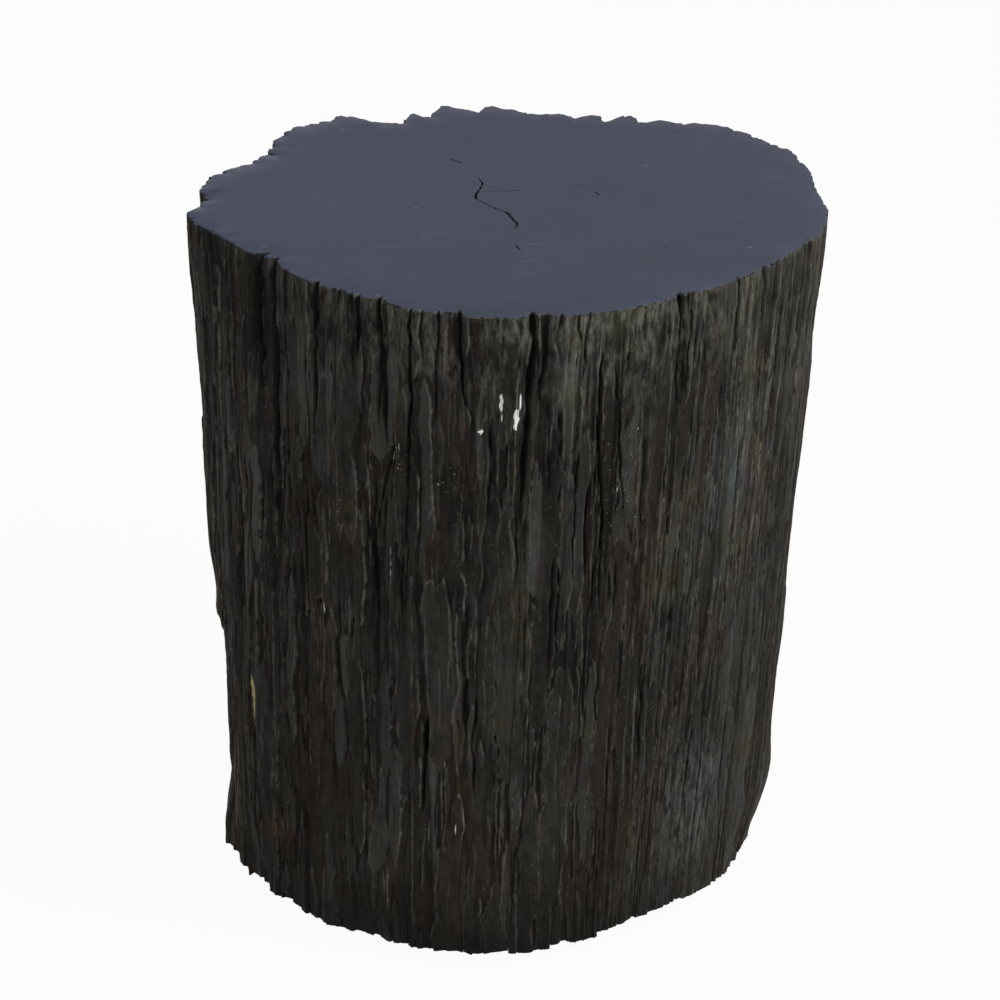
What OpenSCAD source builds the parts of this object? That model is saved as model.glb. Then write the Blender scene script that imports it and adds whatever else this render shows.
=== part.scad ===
// Charred log stool: a sawn length of blackened log with a smooth sealed top.
// A sound heart carries a rind of split, charred plates.
// The base stands on four screw-in levelling glides.
// The origin is on the floor below the middle of the top, and -Y is the front.

/* [Log] */
// Length of the log, with its coat
log_h = 430; // [380:5:500]
// Mean radius of the log at the top
top_r = 191; // [180:1:215]
// Mean radius of the log at the base
base_r = 169; // [160:1:205]
// How far the base stands to the right of the top
lean_x = -8; // [-25:1:25]
// How far the base stands behind the top
lean_y = 2; // [-25:1:25]
// Rise of the biggest lobe of the log's outline
lobe_rise = 17; // [0:1:20]
// Gap between the floor and the sawn base
floor_gap = 4; // [2:0.5:6]

/* [Rind] */
// Thickness of the charred rind
rind_t = 16; // [12:1:24]
// Bond line between the rind and the heart
bond_gap = 0.4; // [0.3:0.05:0.8]
// Width of the split between two plates
split_w = 1.6; // [1.2:0.1:3]
// Most that a plate stands out from the log or back into it
plate_lift = 1.5; // [0:0.5:5]
// How far the long edges of a plate fall away from its middle
edge_drop = 1.5; // [1:0.5:5]
// Most that the riven face of a plate stands above or below a smooth one
riven = 1; // [0:0.1:2]
// Width of the widest strip that has flaked off the rind
strip_w = 8; // [4:0.5:12]
// Depth of a full strip that has flaked off the rind
strip_deep = 5; // [1:0.5:6]
// How far the biggest tongue of the rind's upper edge stands out
tongue_rise = 9; // [0:1:12]
// Height over which the tongues and notches of the upper edge run out
tongue_run = 90; // [50:5:150]
// Least thickness of the rind where it has broken away
rind_least = 4; // [3:0.5:6]
// Height of the ledge where a plate is broken across
ledge_h = 5; // [3:1:10]
// Step where the foot of the wide plate on the left is split away
split_step = 6; // [2:1:8]
// Most that the foot of a plate is broken off
foot_break = 10; // [1:1:15]
// How far the foot of the rind flares out at most, or is worn in
foot_flare = 8; // [0:1:10]
// Height over which the flare of the foot runs out
foot_run = 50; // [40:5:120]
// Sideways wander of a split along its length, in degrees
split_wander = 1.1; // [0:0.1:1.5]
// Deepest nick where a split meets the edge of the top
nick_deep = 9; // [4:1:12]

/* [Top] */
// Thickness of the sealing coat
coat_t = 1.5; // [1:0.1:4]
// Length of the fissure at the pith
fissure_l = 100; // [60:5:120]
// Width of the fissure at the pith
fissure_w = 2.4; // [1:0.1:4]
// Depth of the fissures below the coat
fissure_deep = 8; // [4:1:20]

/* [Glides] */
// Radius of the circle that the glides stand on
glide_ring_r = 104; // [85:1:112]
// Screw travel of a glide
glide_travel = 12; // [6:1:14]
// Diameter of a glide's pad
pad_d = 36; // [30:1:40]
// Height of a glide's pad
pad_h = 8; // [7:0.5:10]
// Thickness of the pad below the stem's foot
pad_floor = 2; // [1.5:0.1:2.5]
// Diameter of the key hole through the pad
key_hole_d = 7; // [6.5:0.1:8]
// Width across flats of the key socket in the stem
key_af = 5; // [4:0.5:5]
// Depth of the key socket
key_deep = 4; // [3:0.5:5]
// Diameter of the stem's foot, held inside the pad
foot_d = 13; // [12:0.5:15]
// Thickness of the stem's foot
foot_t = 2.4; // [2:0.1:3]
// Diameter of the stem's neck, where the pad turns on it
neck_d = 10; // [9:0.5:11]
// Diameter of the stop collar
collar_d = 18; // [16:0.5:20]
// Thickness of the stop collar
collar_t = 3; // [2:0.5:4]
// Diameter of the stem's thread
thread_d = 8; // [6:1:8]
// Length of thread still held in the insert at full travel
thread_hold = 14; // [10:1:20]
// Outer diameter of the insert's sleeve
sleeve_d = 12; // [11:0.5:16]
// Length of the insert's sleeve
sleeve_l = 22; // [18:1:30]
// Diameter of the insert's flange
flange_d = 22; // [20:0.5:26]
// Thickness of the insert's flange
flange_t = 2; // [1.5:0.5:3]
// Room round the pad in its pocket
pocket_room = 4; // [2:0.5:6]
// Radial clearance of parts that turn or slide
run_gap = 0.05; // [0.02:0.01:0.1]
// Gap below each seated or stopped face
seat_gap = 0.1; // [0.05:0.05:0.2]

/* [Hidden] */
$fn = 64;

// The log's outline at its top: each lobe or hollow is [angle, spread in degrees, share of lobe_rise]
TOP_LOBES = [
    [37, 26, 1], [75, 13, -0.5], [96, 9, 0.35], [114, 7, -0.6], [124, 13, 0.9], [150, 14, -0.6],
    [185, 12, 0.5], [215, 25, -0.95], [272, 22, 0.5], [352, 14, 0.3]
];
// The same at its base, which is rounder
BASE_LOBES = [
    [0, 20, -0.1], [40, 26, 0.25], [124, 14, 0.2], [194, 28, 0.25], [272, 22, 0.2], [312, 22, -0.6]
];
// Angles of the splits between the plates of the rind
SPLITS = [
    10, 23, 36, 49, 62, 75, 88, 100, 113, 127, 141, 153, 164, 175, 196, 204,
    213, 222, 232, 243, 252, 263, 273, 282, 292, 302, 315, 327, 339, 350
];
// Splits that nick the edge of the top the deepest
DEEP_SPLITS = [8, 13, 16];
// Fissures in the top: each is [share of fissure_w, points of its route as shares of fissure_l]
FISSURES = [
    [1.0, [
        [-0.2, 0.51], [-0.17, 0.39], [-0.21, 0.18], [-0.18, 0.04],
        [-0.11, -0.07], [-0.05, -0.13], [0.01, -0.26], [0.03, -0.46]
    ]],
    [0.6, [[-0.38, 0.89], [-0.34, 0.83], [-0.3, 0.79]]],
    [0.5, [[-0.15, 0.22], [-0.07, 0.23], [0.01, 0.25]]],
    [0.6, [[0.03, -0.75], [0.04, -0.81], [0.06, -0.87]]]
];
// Tongues and notches of the rind's upper edge: each is [angle, spread in degrees, share of tongue_rise]
TONGUES = [
    [6, 9, -0.3], [17, 7, -0.2], [44, 7, 0.35], [48, 2.5, 0.25], [57, 3, -0.5], [61.7, 1.6, -1],
    [66.3, 1.5, 0.7], [69, 1.3, -1.1], [75.4, 1.5, -0.5], [79, 1.2, 0.3], [85, 5, -0.3],
    [93, 1.6, 0.5], [96.2, 1.6, -0.8], [101.7, 2, 1], [106.6, 1.3, -0.9], [108.7, 1.2, 0.4],
    [114.5, 4, -1.3], [121, 2.2, 0.9], [126.5, 2, -0.3], [133, 6, 0.8], [141, 3, 0.35],
    [162, 5, 0.6], [179, 5, -1], [237.5, 2, -0.45], [260.5, 1.8, -0.45]
];
// Flares and worn places of the rind's foot: each is [angle, spread in degrees, share of foot_flare]
FEET = [[186, 10, 1], [208, 6, -0.6], [346, 15, -0.65]];
// Share of foot_break that each plate has lost at its foot
FOOT_SHARES = [
    0.3, 0.5, 0.2, 0.6, 0.4, 0.3, 0.5, 0.7, 0.3, 0.45, 0.25, 0.5, 0.4, 0.3, 0.5,
    0.9, 0.5, 0.3, 0.2, 0.4, 0.3, 0.35, 0.15, 0.4, 0.75, 0.6, 0.5, 0.5, 0.45, 0.4
];
// Strips that have flaked off the rind, and the splits that gape the widest: each is
// [share of strip_w, share of strip_deep, route from foot to head as [angle, share of the log's height]]
STRIPS = [
    [1, 1, [[219, 0.55], [218.4, 0.83], [217.2, 0.92], [216.2, 1.1]]],
    [0.8, 1, [[212.2, 0.85], [212, 1.1]]],
    [0.8, 0.9, [[275.4, 0.88], [276.2, 1.1]]],
    [0.8, 1, [[241, 0.88], [240.6, 1.1]]],
    [0.7, 0.8, [[248.4, 0.77], [247.6, 0.84], [248, 0.92], [247.6, 1.1]]],
    [0.7, 0.7, [[233, 0.88], [232.6, 1.1]]],
    [1, 0.65, [[246, 0.41], [245, 0.51], [245.6, 0.6], [244.4, 0.69]]],
    [0.6, 0.6, [[285.4, 0.6], [284.6, 0.68], [285, 0.76]]],
    [0.8, 0.6, [[225.8, 0.43], [226.6, 0.55], [226, 0.67]]],
    [0.7, 0.5, [[263.8, 0.36], [263, 0.48], [263.6, 0.57]]],
    [0.8, 0.6, [[203.6, 0.48], [204.6, 0.62], [204, 0.76]]],
    [0.9, 0.8, [[153.8, 0.69], [154.6, 0.83], [154, 0.97]]],
    [0.9, 0.7, [[96.2, 0.41], [96.8, 0.6], [96, 0.76]]],
    [0.8, 0.65, [[73.6, 0.27], [74.6, 0.43], [74, 0.6]]],
    [0.6, 1.6, [[272.5, 0.7], [273.6, 0.84], [274.4, 0.96], [274.2, 1.1]]],
    [0.5, 1.3, [[246.5, 0.82], [247, 0.92], [246.4, 1.1]]],
    [0.5, 1.5, [[213.6, 0.78], [212.4, 0.92], [213, 1.1]]],
    [0.5, 1.8, [[174, 0.41], [175.6, 0.69], [174.6, 0.95], [175.1, 1.1]]],
    [0.6, 2, [[112.4, 0.76], [113.2, 0.92], [112.8, 1.1]]]
];
// The wide plate on the left, and the level where its foot is split away
WIDE_PLATE = 13;
WIDE_LEVEL = 3;

log_top = floor_gap + log_h - coat_t;
plates = len(SPLITS);
last_plate = plates - 1;
bed_cuts = 7;
plate_cuts = 2 * bed_cuts;
heart_sides = 180;
levels = 9;
level_gap = (log_top - floor_gap) / levels;
chance_seed = 21;
over = split_w;

// Heights of a glide's pieces, from the floor up
foot_z = pad_floor + seat_gap;
lip_z = foot_z + foot_t + seat_gap;
collar_z = pad_h + seat_gap;
flange_z = collar_z + collar_t + seat_gap;
pocket_top = flange_z + flange_t;
thread_top = collar_z + collar_t + glide_travel + thread_hold;
hole_top = max(thread_top, pocket_top + sleeve_l) + seat_gap;
glide_angles = [45, 135, 225, 315];

// Chosen once for each plate by a fixed seed
plate_lifts = rands(-1, 1, plates, chance_seed);
low_lifts = rands(-1, 1, plates, chance_seed + 1);
break_levels = rands(2, levels - 1, plates, chance_seed + 2);
nicks = rands(0.2, 0.6, plates, chance_seed + 4);
wanders = rands(-1, 1, plates * (levels + 1), chance_seed + 5);
rough = rands(-1, 1, plates * (levels + 2) * (plate_cuts + 1), chance_seed + 6);

charcoal = [0.13, 0.125, 0.12];
heart_brown = [0.2, 0.16, 0.13];
slate = [0.29, 0.31, 0.36];
zinc = [0.7, 0.7, 0.68];
brass = [0.72, 0.6, 0.33];
nylon = [0.1, 0.1, 0.1];

function turn_between(a, b) = (a - b + 540) % 360 - 180;
function sum(list, i = 0) = i < len(list) ? list[i] + sum(list, i + 1) : 0;
function lobes_at(lobes, angle) =
    lobe_rise * sum([for (l = lobes) l[2] * exp(-pow(turn_between(angle, l[0]) / l[1], 2))]);

// Share of the log's height at z, from 0 at the base to 1 under the coat
function up(z) = (z - floor_gap) / (log_top - floor_gap);
function log_r(angle, z) =
    (top_r + lobes_at(TOP_LOBES, angle)) * up(z)
    + (base_r + lobes_at(BASE_LOBES, angle)) * (1 - up(z));
function about(angle, r) = r * [cos(angle), sin(angle)];
function level_z(k) = floor_gap + k * level_gap;

// Angle of split j at height z: both plates follow the same line, so they never cross
function split_angle(j, z) =
    let (s = j % plates)
    SPLITS[s] + (j >= plates ? 360 : 0) + split_wander * lookup(z, [
        for (k = [0:levels]) [level_z(k), wanders[s * (levels + 1) + k]]
    ]);

// Heights of the rings of plate i: the shared levels, with a step above its break
function break_level(i) = i == WIDE_PLATE ? WIDE_LEVEL : floor(break_levels[i]);
function plate_levels(i) = [
    level_z(0) + foot_break * FOOT_SHARES[i],
    for (k = [1:levels]) each
        k == break_level(i) ? [level_z(k), level_z(k) + ledge_h] : [level_z(k)]
];
function lift_at(i, z) =
    let (high = plate_lift * plate_lifts[i],
         low = i == WIDE_PLATE ? high - split_step : plate_lift * low_lifts[i])
    z > level_z(break_level(i)) + ledge_h / 2 ? high : low;

// How far the tongues of the upper edge stand out, with notches below zero
function tongues_at(angle, z) =
    let (t = max(0, 1 - (log_top - z) / tongue_run), fade = t * t * (3 - 2 * t))
    tongue_rise * sum([
        for (g = TONGUES)
            g[2] * exp(-pow(abs(turn_between(angle, g[0])) / g[1], 3)) * (g[2] > 0 ? fade : fade * fade)
    ]);

// How far the foot flares out, with worn places below zero
function feet_at(angle, z) =
    foot_flare * max(0, 1 - (z - floor_gap) / foot_run)
    * sum([for (f = FEET) f[2] * exp(-pow(turn_between(angle, f[0]) / f[1], 2))]);

// Depth of the deepest strip or gaping split that crosses this place
function strips_at(angle, z) =
    let (arc = log_r(angle, z) * PI / 180)
    strip_deep * max([
        for (s = STRIPS)
            let (route = s[2],
                 middle = lookup(up(z), [for (p = route) [p[1], p[0]]]),
                 across = arc * abs(turn_between(angle, middle)),
                 along = up(z) > route[0][1] && up(z) < route[len(route) - 1][1])
            along && across < strip_w * s[0] / 2 ? s[1] : 0
    ]);

// Outer face of plate i on its ring n at height z, from split to split
top_ring = levels + 1;
function roughness(i, n, k) = riven * rough[(i * (levels + 2) + n) * (plate_cuts + 1) + k];
function plate_face(i, n, z) = [
    for (k = [0:plate_cuts])
        let (gap = asin(split_w / 2 / (log_r(SPLITS[i], z) - rind_t)),
             a0 = split_angle(i, z) + gap,
             a1 = split_angle(i + 1, z) - gap,
             angle = a0 + (a1 - a0) * k / plate_cuts,
             crown = edge_drop * (sin(180 * k / plate_cuts) - 1),
             riven_face = lift_at(i, z) + crown + roughness(i, n, k),
             broken_face = tongues_at(angle, z) + feet_at(angle, z) - strips_at(angle, z))
        [angle, log_r(angle, z) + max(riven_face + broken_face, rind_least - rind_t)]
];

function nick_share(i) = len(search(i, DEEP_SPLITS)) > 0 ? 1 : nicks[i];

// Outline of the coat about the log's own axis: the plates' tops, nicked at the splits
function coat_points() = [
    for (i = [0:last_plate]) let (face = plate_face(i, top_ring, log_top)) each concat(
        [about(split_angle(i, log_top), face[0][1] - nick_deep * nick_share(i))],
        [for (p = face) about(p[0], p[1])]
    )
];
coat_raw = coat_points();
function mid(list) = (min(list) + max(list)) / 2;
coat_mid = [mid([for (p = coat_raw) p.x]), mid([for (p = coat_raw) p.y])];
function log_axis(z) = [lean_x, lean_y] * (1 - up(z)) - coat_mid;

function at_height(p, z) = [p.x, p.y, z];
function plate_ring(i, n, z) =
    let (face = plate_face(i, n, z),
         outer = [for (p = face) about(p[0], p[1])],
         inner = [for (k = [plate_cuts:-2:0]) about(face[k][0], log_r(face[k][0], z) - rind_t)])
    [for (p = concat(outer, inner)) at_height(p + log_axis(z), z)];
function heart_ring(z) = [
    for (k = [0:heart_sides - 1]) let (angle = 360 * k / heart_sides)
        at_height(about(angle, log_r(angle, z) - rind_t - bond_gap) + log_axis(z), z)
];

// A solid through rings of points, each anticlockwise seen from above
module loft(rings) {
    m = len(rings[0]);
    n = len(rings);
    polyhedron(
        points = [for (r = rings) each r],
        faces = [
            [for (k = [0:m - 1]) k],
            for (j = [0:n - 2], k = [0:m - 1])
                let (a = j * m + k, b = j * m + (k + 1) % m)
                each [[a, a + m, b + m], [a, b + m, b]],
            [for (k = [m - 1:-1:0]) (n - 1) * m + k]
        ]
    );
}

// A pointed slit of the given width along a route
function side(route, k, w) =
    let (d = route[k + 1] - route[k - 1])
    route[k] + w / 2 * [-d.y, d.x] / norm(d);
function slit(route, w) =
    let (n = len(route) - 1)
    concat(
        [route[0]],
        [for (k = [1:n - 1]) side(route, k, -w)],
        [route[n]],
        [for (k = [n - 1:-1:1]) side(route, k, w)]
    );
module fissures() {
    for (f = FISSURES)
        polygon(slit(fissure_l * f[1], fissure_w * f[0]));
}

module at_glide(g) {
    translate(at_height(log_axis(floor_gap) + about(glide_angles[g], glide_ring_r), 0))
        children();
}

module heart_core() {
    color(heart_brown)
    difference() {
        loft([for (k = [0:levels]) heart_ring(level_z(k))]);
        translate([0, 0, log_top - fissure_deep])
            linear_extrude(fissure_deep + over) fissures();
        for (g = [0:len(glide_angles) - 1]) at_glide(g) {
            cylinder(h = pocket_top, d = pad_d + 2 * pocket_room);
            cylinder(h = hole_top, d = sleeve_d + 2 * run_gap);
        }
    }
}

module rind_plate(i) {
    color(charcoal)
        loft([for (n = [0:top_ring]) plate_ring(i, n, plate_levels(i)[n])]);
}

module top_coat() {
    color(slate)
    translate([0, 0, log_top])
        linear_extrude(coat_t)
            difference() {
                translate(-coat_mid) polygon(coat_raw);
                fissures();
            }
}

module glide_insert(g) {
    color(brass)
    at_glide(g) difference() {
        union() {
            translate([0, 0, flange_z]) cylinder(h = flange_t, d = flange_d);
            translate([0, 0, flange_z]) cylinder(h = flange_t + sleeve_l, d = sleeve_d);
        }
        translate([0, 0, flange_z - over])
            cylinder(h = flange_t + sleeve_l + 2 * over, d = thread_d + 2 * run_gap);
    }
}

module glide_stem(g) {
    tip = thread_d / 8;
    color(zinc)
    at_glide(g) difference() {
        rotate_extrude() polygon([
            [0, foot_z], [foot_d / 2, foot_z], [foot_d / 2, foot_z + foot_t],
            [neck_d / 2, foot_z + foot_t], [neck_d / 2, collar_z],
            [collar_d / 2, collar_z], [collar_d / 2, collar_z + collar_t],
            [thread_d / 2, collar_z + collar_t], [thread_d / 2, thread_top - tip],
            [thread_d / 2 - tip, thread_top], [0, thread_top]
        ]);
        translate([0, 0, foot_z - over])
            cylinder(h = key_deep + over, d = key_af / cos(30), $fn = 6);
    }
}

module glide_pad(g) {
    edge = pad_floor / 2;
    hub_r = foot_d / 2 + pad_floor;
    color(nylon)
    at_glide(g) rotate_extrude() polygon([
        [key_hole_d / 2, 0], [pad_d / 2 - edge, 0], [pad_d / 2, edge],
        [pad_d / 2, pad_h / 2], [hub_r, pad_h], [neck_d / 2 + run_gap, pad_h],
        [neck_d / 2 + run_gap, lip_z], [foot_d / 2 + run_gap, lip_z],
        [foot_d / 2 + run_gap, pad_floor], [key_hole_d / 2, pad_floor]
    ]);
}

function numbered(name, n) = str(name, "_", n < 10 ? "0" : "", n);

heart_core();
top_coat();
for (i = [0:last_plate])
    rind_plate(i);
for (g = [0:len(glide_angles) - 1]) {
    glide_insert(g);
    glide_stem(g);
    glide_pad(g);
}
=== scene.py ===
"""A charred log stool: split rind plates, a sealed slate-grey top and levelling glides."""
import math

import bpy
import numpy as np
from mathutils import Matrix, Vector
from mathutils.geometry import delaunay_2d_cdt


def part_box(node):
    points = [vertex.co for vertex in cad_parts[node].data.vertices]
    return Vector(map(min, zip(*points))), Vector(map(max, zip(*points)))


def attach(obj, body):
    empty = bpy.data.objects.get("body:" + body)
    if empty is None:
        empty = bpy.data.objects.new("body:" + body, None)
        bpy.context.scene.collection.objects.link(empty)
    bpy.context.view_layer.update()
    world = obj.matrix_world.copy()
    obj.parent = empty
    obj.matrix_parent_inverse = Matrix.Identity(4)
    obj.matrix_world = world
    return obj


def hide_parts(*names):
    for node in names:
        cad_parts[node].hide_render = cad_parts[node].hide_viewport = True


bl_info = {
    "name": "Charred Log Stool",
    "version": (1, 0, 0),
    "blender": (4, 5, 0),
    "location": "View3D > Sidebar > Log Stool",
    "description": "Dresses a charred log stool: rind, sealed top, heart, glides and stage",
    "category": "Object",
}

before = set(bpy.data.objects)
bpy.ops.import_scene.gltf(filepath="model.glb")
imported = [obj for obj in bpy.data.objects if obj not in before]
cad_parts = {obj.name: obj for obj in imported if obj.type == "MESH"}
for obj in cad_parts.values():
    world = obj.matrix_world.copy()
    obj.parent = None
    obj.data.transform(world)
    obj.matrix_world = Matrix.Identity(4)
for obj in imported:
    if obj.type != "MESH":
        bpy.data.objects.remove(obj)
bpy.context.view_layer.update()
MM = 0.001
GLIDES = (1, 2, 3, 4)
PADS = [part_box(f"glide_pad_{g}") for g in GLIDES]
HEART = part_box("heart_core")

# The top of the log over the floor, in mm
LOG_TOP = 434

# The log is unrolled on a drum of this radius, in mm, so that grain runs on from plate to plate
DRUM = 180.0
AROUND = 2 * math.pi * DRUM

# Angles in degrees, from the right of the log as the camera sees it, with the front at 270
FINE_SIDE = 345
CRUMBLED_BACK = 120
STEPPED_SIDE = 188
SHADED_FOOT = 258
DUSTY_RIM = 305

# Sizes of flakes, laid from the broadest down: how many, width, length in mm, share of the flake thickness
FLAKES = [
    (260, (9, 22), (50, 200), (0.6, 1.3)),
    (950, (4, 11), (18, 100), (0.45, 1.05)),
    (1700, (2, 6), (8, 50), (0.3, 0.7)),
]
FIBRES = 2600
SMALL_SPLITS = 170
RIM_NICKS = 40

# The least thickness that a plate keeps, in mm
LEAST_RIND = 2.0

# Splits that open: [points of (angle in degrees, height in mm)], width and depth in mm
FISSURES = [
    ([(274.2, 434), (274.4, 417), (273.9, 395), (273.6, 363), (273.2, 338), (272.5, 300)], 4.6, 8.0),
    ([(285.4, 372), (287.2, 332), (288.0, 295), (286.8, 260), (286.4, 230)], 1.9, 4.5),
    ([(261.8, 434), (262.3, 411), (263.2, 370)], 2.6, 5.0),
    ([(253.2, 430), (253.3, 377), (252.6, 310), (252.1, 230)], 2.0, 4.0),
    ([(288.4, 404), (290.6, 344), (292.5, 290)], 1.6, 4.0),
    ([(301.0, 434), (302.0, 420), (302.2, 402)], 3.4, 5.0),
    ([(302.2, 406), (301.8, 380), (302.4, 352)], 1.2, 2.0),
    ([(256.3, 172), (255.9, 142), (255.2, 100)], 3.2, 5.5),
    ([(243.2, 300), (245.4, 261), (246.3, 225)], 1.6, 3.0),
    ([(250.4, 352), (247.6, 318), (246.0, 290), (244.6, 250)], 1.3, 3.0),
    ([(242.0, 434), (242.2, 398)], 4.4, 7.0),
    ([(246.4, 434), (247.0, 398), (246.5, 352)], 3.4, 6.5),
    ([(231.5, 434), (232.0, 390), (231.2, 320)], 3.0, 5.5),
    ([(213.0, 434), (212.4, 396), (213.6, 340)], 4.0, 7.5),
    ([(222.4, 434), (222.0, 402), (223.0, 360)], 3.0, 5.0),
    ([(315.2, 434), (315.6, 404), (315.0, 370)], 1.8, 3.5),
    ([(281.6, 434), (282.2, 418), (281.4, 396)], 1.6, 3.0),
    ([(339.4, 434), (340.0, 400)], 2.0, 4.0),
    ([(196.2, 434), (197.0, 392), (196.0, 330)], 3.0, 6.0),
    ([(175.1, 434), (174.6, 410), (175.6, 300), (174.0, 180)], 3.4, 9.0),
    ([(112.8, 434), (113.2, 400), (112.4, 330)], 4.6, 12.0),
    ([(147.3, 434), (147.6, 380)], 3.0, 6.0),
    ([(66.5, 434), (66.8, 390)], 2.6, 5.0),
    ([(10.6, 434), (10.2, 396), (10.8, 330)], 2.4, 5.0),
]

# Strips where a flake has come away, sunk and darkened with painted shade: points of (angle, height), width
# and depth in mm
RECESSES = [
    ([(216.2, 434), (217.2, 400), (218.4, 360), (218.3, 308), (219.1, 258)], 8.0, 5.0),
    ([(212.0, 434), (211.6, 404), (212.2, 372)], 6.0, 5.0),
    ([(276.2, 434), (276.4, 410), (275.4, 384)], 6.0, 4.5),
    ([(240.6, 434), (241.2, 404), (241.0, 382)], 6.0, 5.0),
    ([(247.6, 434), (248.0, 398), (247.6, 366), (248.4, 340)], 5.0, 4.0),
    ([(232.6, 434), (233.0, 396)], 5.0, 3.5),
    ([(244.4, 300), (245.6, 262), (245.0, 222), (246.0, 180)], 7.0, 1.8),
    ([(285.0, 330), (284.6, 296), (285.4, 262)], 4.0, 1.8),
    ([(226.0, 290), (226.6, 240), (225.8, 190)], 6.0, 3.0),
    ([(263.6, 250), (263.0, 210), (263.8, 160)], 5.0, 2.6),
    ([(204.0, 330), (204.6, 270), (203.6, 210)], 6.0, 3.0),
    ([(154.0, 420), (154.6, 360), (153.8, 300)], 7.0, 4.0),
    ([(96.0, 330), (96.8, 260), (96.2, 180)], 7.0, 3.6),
    ([(74.0, 260), (74.6, 190), (73.6, 120)], 6.0, 3.2),
]

# Tongues and notches along the rim: (angle, spread in degrees, how far it stands out in mm)
RIM = [
    (6, 9, -2.7), (17, 7, -1.8), (44, 7, 3.2), (48, 2.5, 2.2), (57, 3, -4.5), (61.7, 1.6, -9),
    (66.3, 1.5, 6.3), (69, 1.3, -9.9), (75.4, 1.5, -4.5), (79, 1.2, 2.7), (85, 5, -2.7), (93, 1.6, 4.5),
    (96.2, 1.6, -7.2), (101.7, 2, 9), (106.6, 1.3, -8.1), (108.7, 1.2, 3.6), (114.5, 4, -11.7),
    (121, 2.2, 8.1), (126.5, 2, -2.7), (133, 6, 7.2), (141, 3, 3.2), (162, 5, 5.4), (179, 5, -9),
    (237.5, 2, -4.1), (260.5, 1.8, -4.1),
]

# Flares and worn places of the foot: (angle, spread in degrees, how far it stands out in mm)
FEET = [(186, 10, 8.0), (208, 6, -4.8), (346, 15, -5.2)]

# Soft dents and swellings of the side: (angle, spread in degrees, height, spread in mm, how far in mm)
DENTS = [
    (5, 12, 368, 26, -4.5), (185, 14, 178, 24, -3.0), (186, 14, 320, 70, -1.8), (189, 6, 425, 25, 2.5),
    (186, 10, 76, 52, 2.4), (184, 12, 26, 18, 2.5), (356, 10, 58, 26, 3.5), (348, 12, 12, 14, -2.5),
    (141, 3.5, 432, 40, 3.0),
]

# Patches that are darker or greyer than the rest: (angle, spread in degrees, height, spread in mm, tone);
# the dark ones below the rim on the front and along the foot are painted shadow
TONES_AND_SHADOWS = [
    (269.6, 2.0, 320, 36, -0.28), (275.0, 1.6, 402, 20, -0.25), (251.0, 2.0, 262, 34, -0.25),
    (217.4, 2.0, 330, 70, -0.25), (233.0, 3.4, 352, 40, 0.2), (250.4, 1.5, 380, 14, 0.2),
    (276.5, 1.6, 300, 40, 0.2), (283.0, 2.0, 300, 44, 0.16), (262.0, 2.4, 120, 40, -0.2),
    (258.6, 2.0, 112, 30, 0.2), (268.5, 2.6, 190, 40, 0.16), (243.0, 3.0, 150, 50, -0.16),
    (292.0, 3.0, 210, 40, -0.18), (210.0, 5.0, 70, 40, -0.14), (300.0, 5.0, 150, 60, -0.1),
    (324.0, 6.0, 190, 30, 0.16), (230.0, 4.0, 100, 50, 0.1), (281.0, 4.0, 80, 36, 0.1),
    (214.0, 3.0, 406, 24, -0.25), (241.2, 1.4, 412, 18, -0.25), (247.0, 1.2, 406, 20, -0.25),
    (232.2, 1.2, 412, 16, -0.2), (268.0, 1.6, 60, 40, 0.16), (274.0, 1.4, 120, 40, 0.14),
    (254.0, 1.6, 60, 30, 0.14), (244.0, 5.0, 258, 50, -0.24), (208.0, 5.0, 140, 90, -0.16),
    (235.0, 9.0, 26, 20, -0.26), (264.0, 8.0, 12, 14, -0.26), (288.0, 2.0, 120, 26, -0.16),
    (319.0, 5.0, 72, 36, 0.12), (260.5, 3.4, 130, 34, 0.12), (263.0, 1.6, 34, 26, 0.14),
    (219.0, 5.0, 332, 60, -0.2), (258.0, 3.6, 344, 30, 0.12), (323.0, 9.0, 350, 60, 0.14),
    (244.0, 6.0, 84, 34, -0.14), (290.0, 5.0, 70, 30, -0.12), (285.5, 5.5, 418, 26, 0.28),
]

# Scorched brown patches: (angle, spread in degrees, height, spread in mm, strength)
SCORCHED = [
    (216, 4, 58, 12, 1.0), (221, 3, 55, 8, 1.0), (342, 3, 337, 8, 1.0), (259.6, 1.7, 402, 26, 0.8),
    (263.2, 1.5, 345, 30, 0.7), (259.0, 1.8, 290, 20, 0.7), (239, 2.4, 282, 26, 0.7),
    (208, 2.6, 290, 28, 0.6), (233, 5, 190, 50, 0.5), (262, 5, 150, 50, 0.4), (297, 4, 260, 40, 0.4),
    (228, 4, 130, 40, 0.5), (305, 4, 100, 30, 0.4), (330, 5, 260, 50, 0.3),
]

# Nests of tiny pale specks: (angle, spread in degrees, height, spread in mm, strength)
SPECKLED = [
    (259.8, 2.6, 318, 18, 1.0), (250.2, 1.6, 338, 13, 1.0), (265.6, 1.2, 350, 16, 0.6),
    (237.6, 1.4, 298, 14, 0.8), (290.6, 4, 330, 40, 0.22), (222, 4, 330, 26, 0.22),
    (305, 7, 130, 50, 0.2), (318, 7, 340, 50, 0.18),
]

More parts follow.
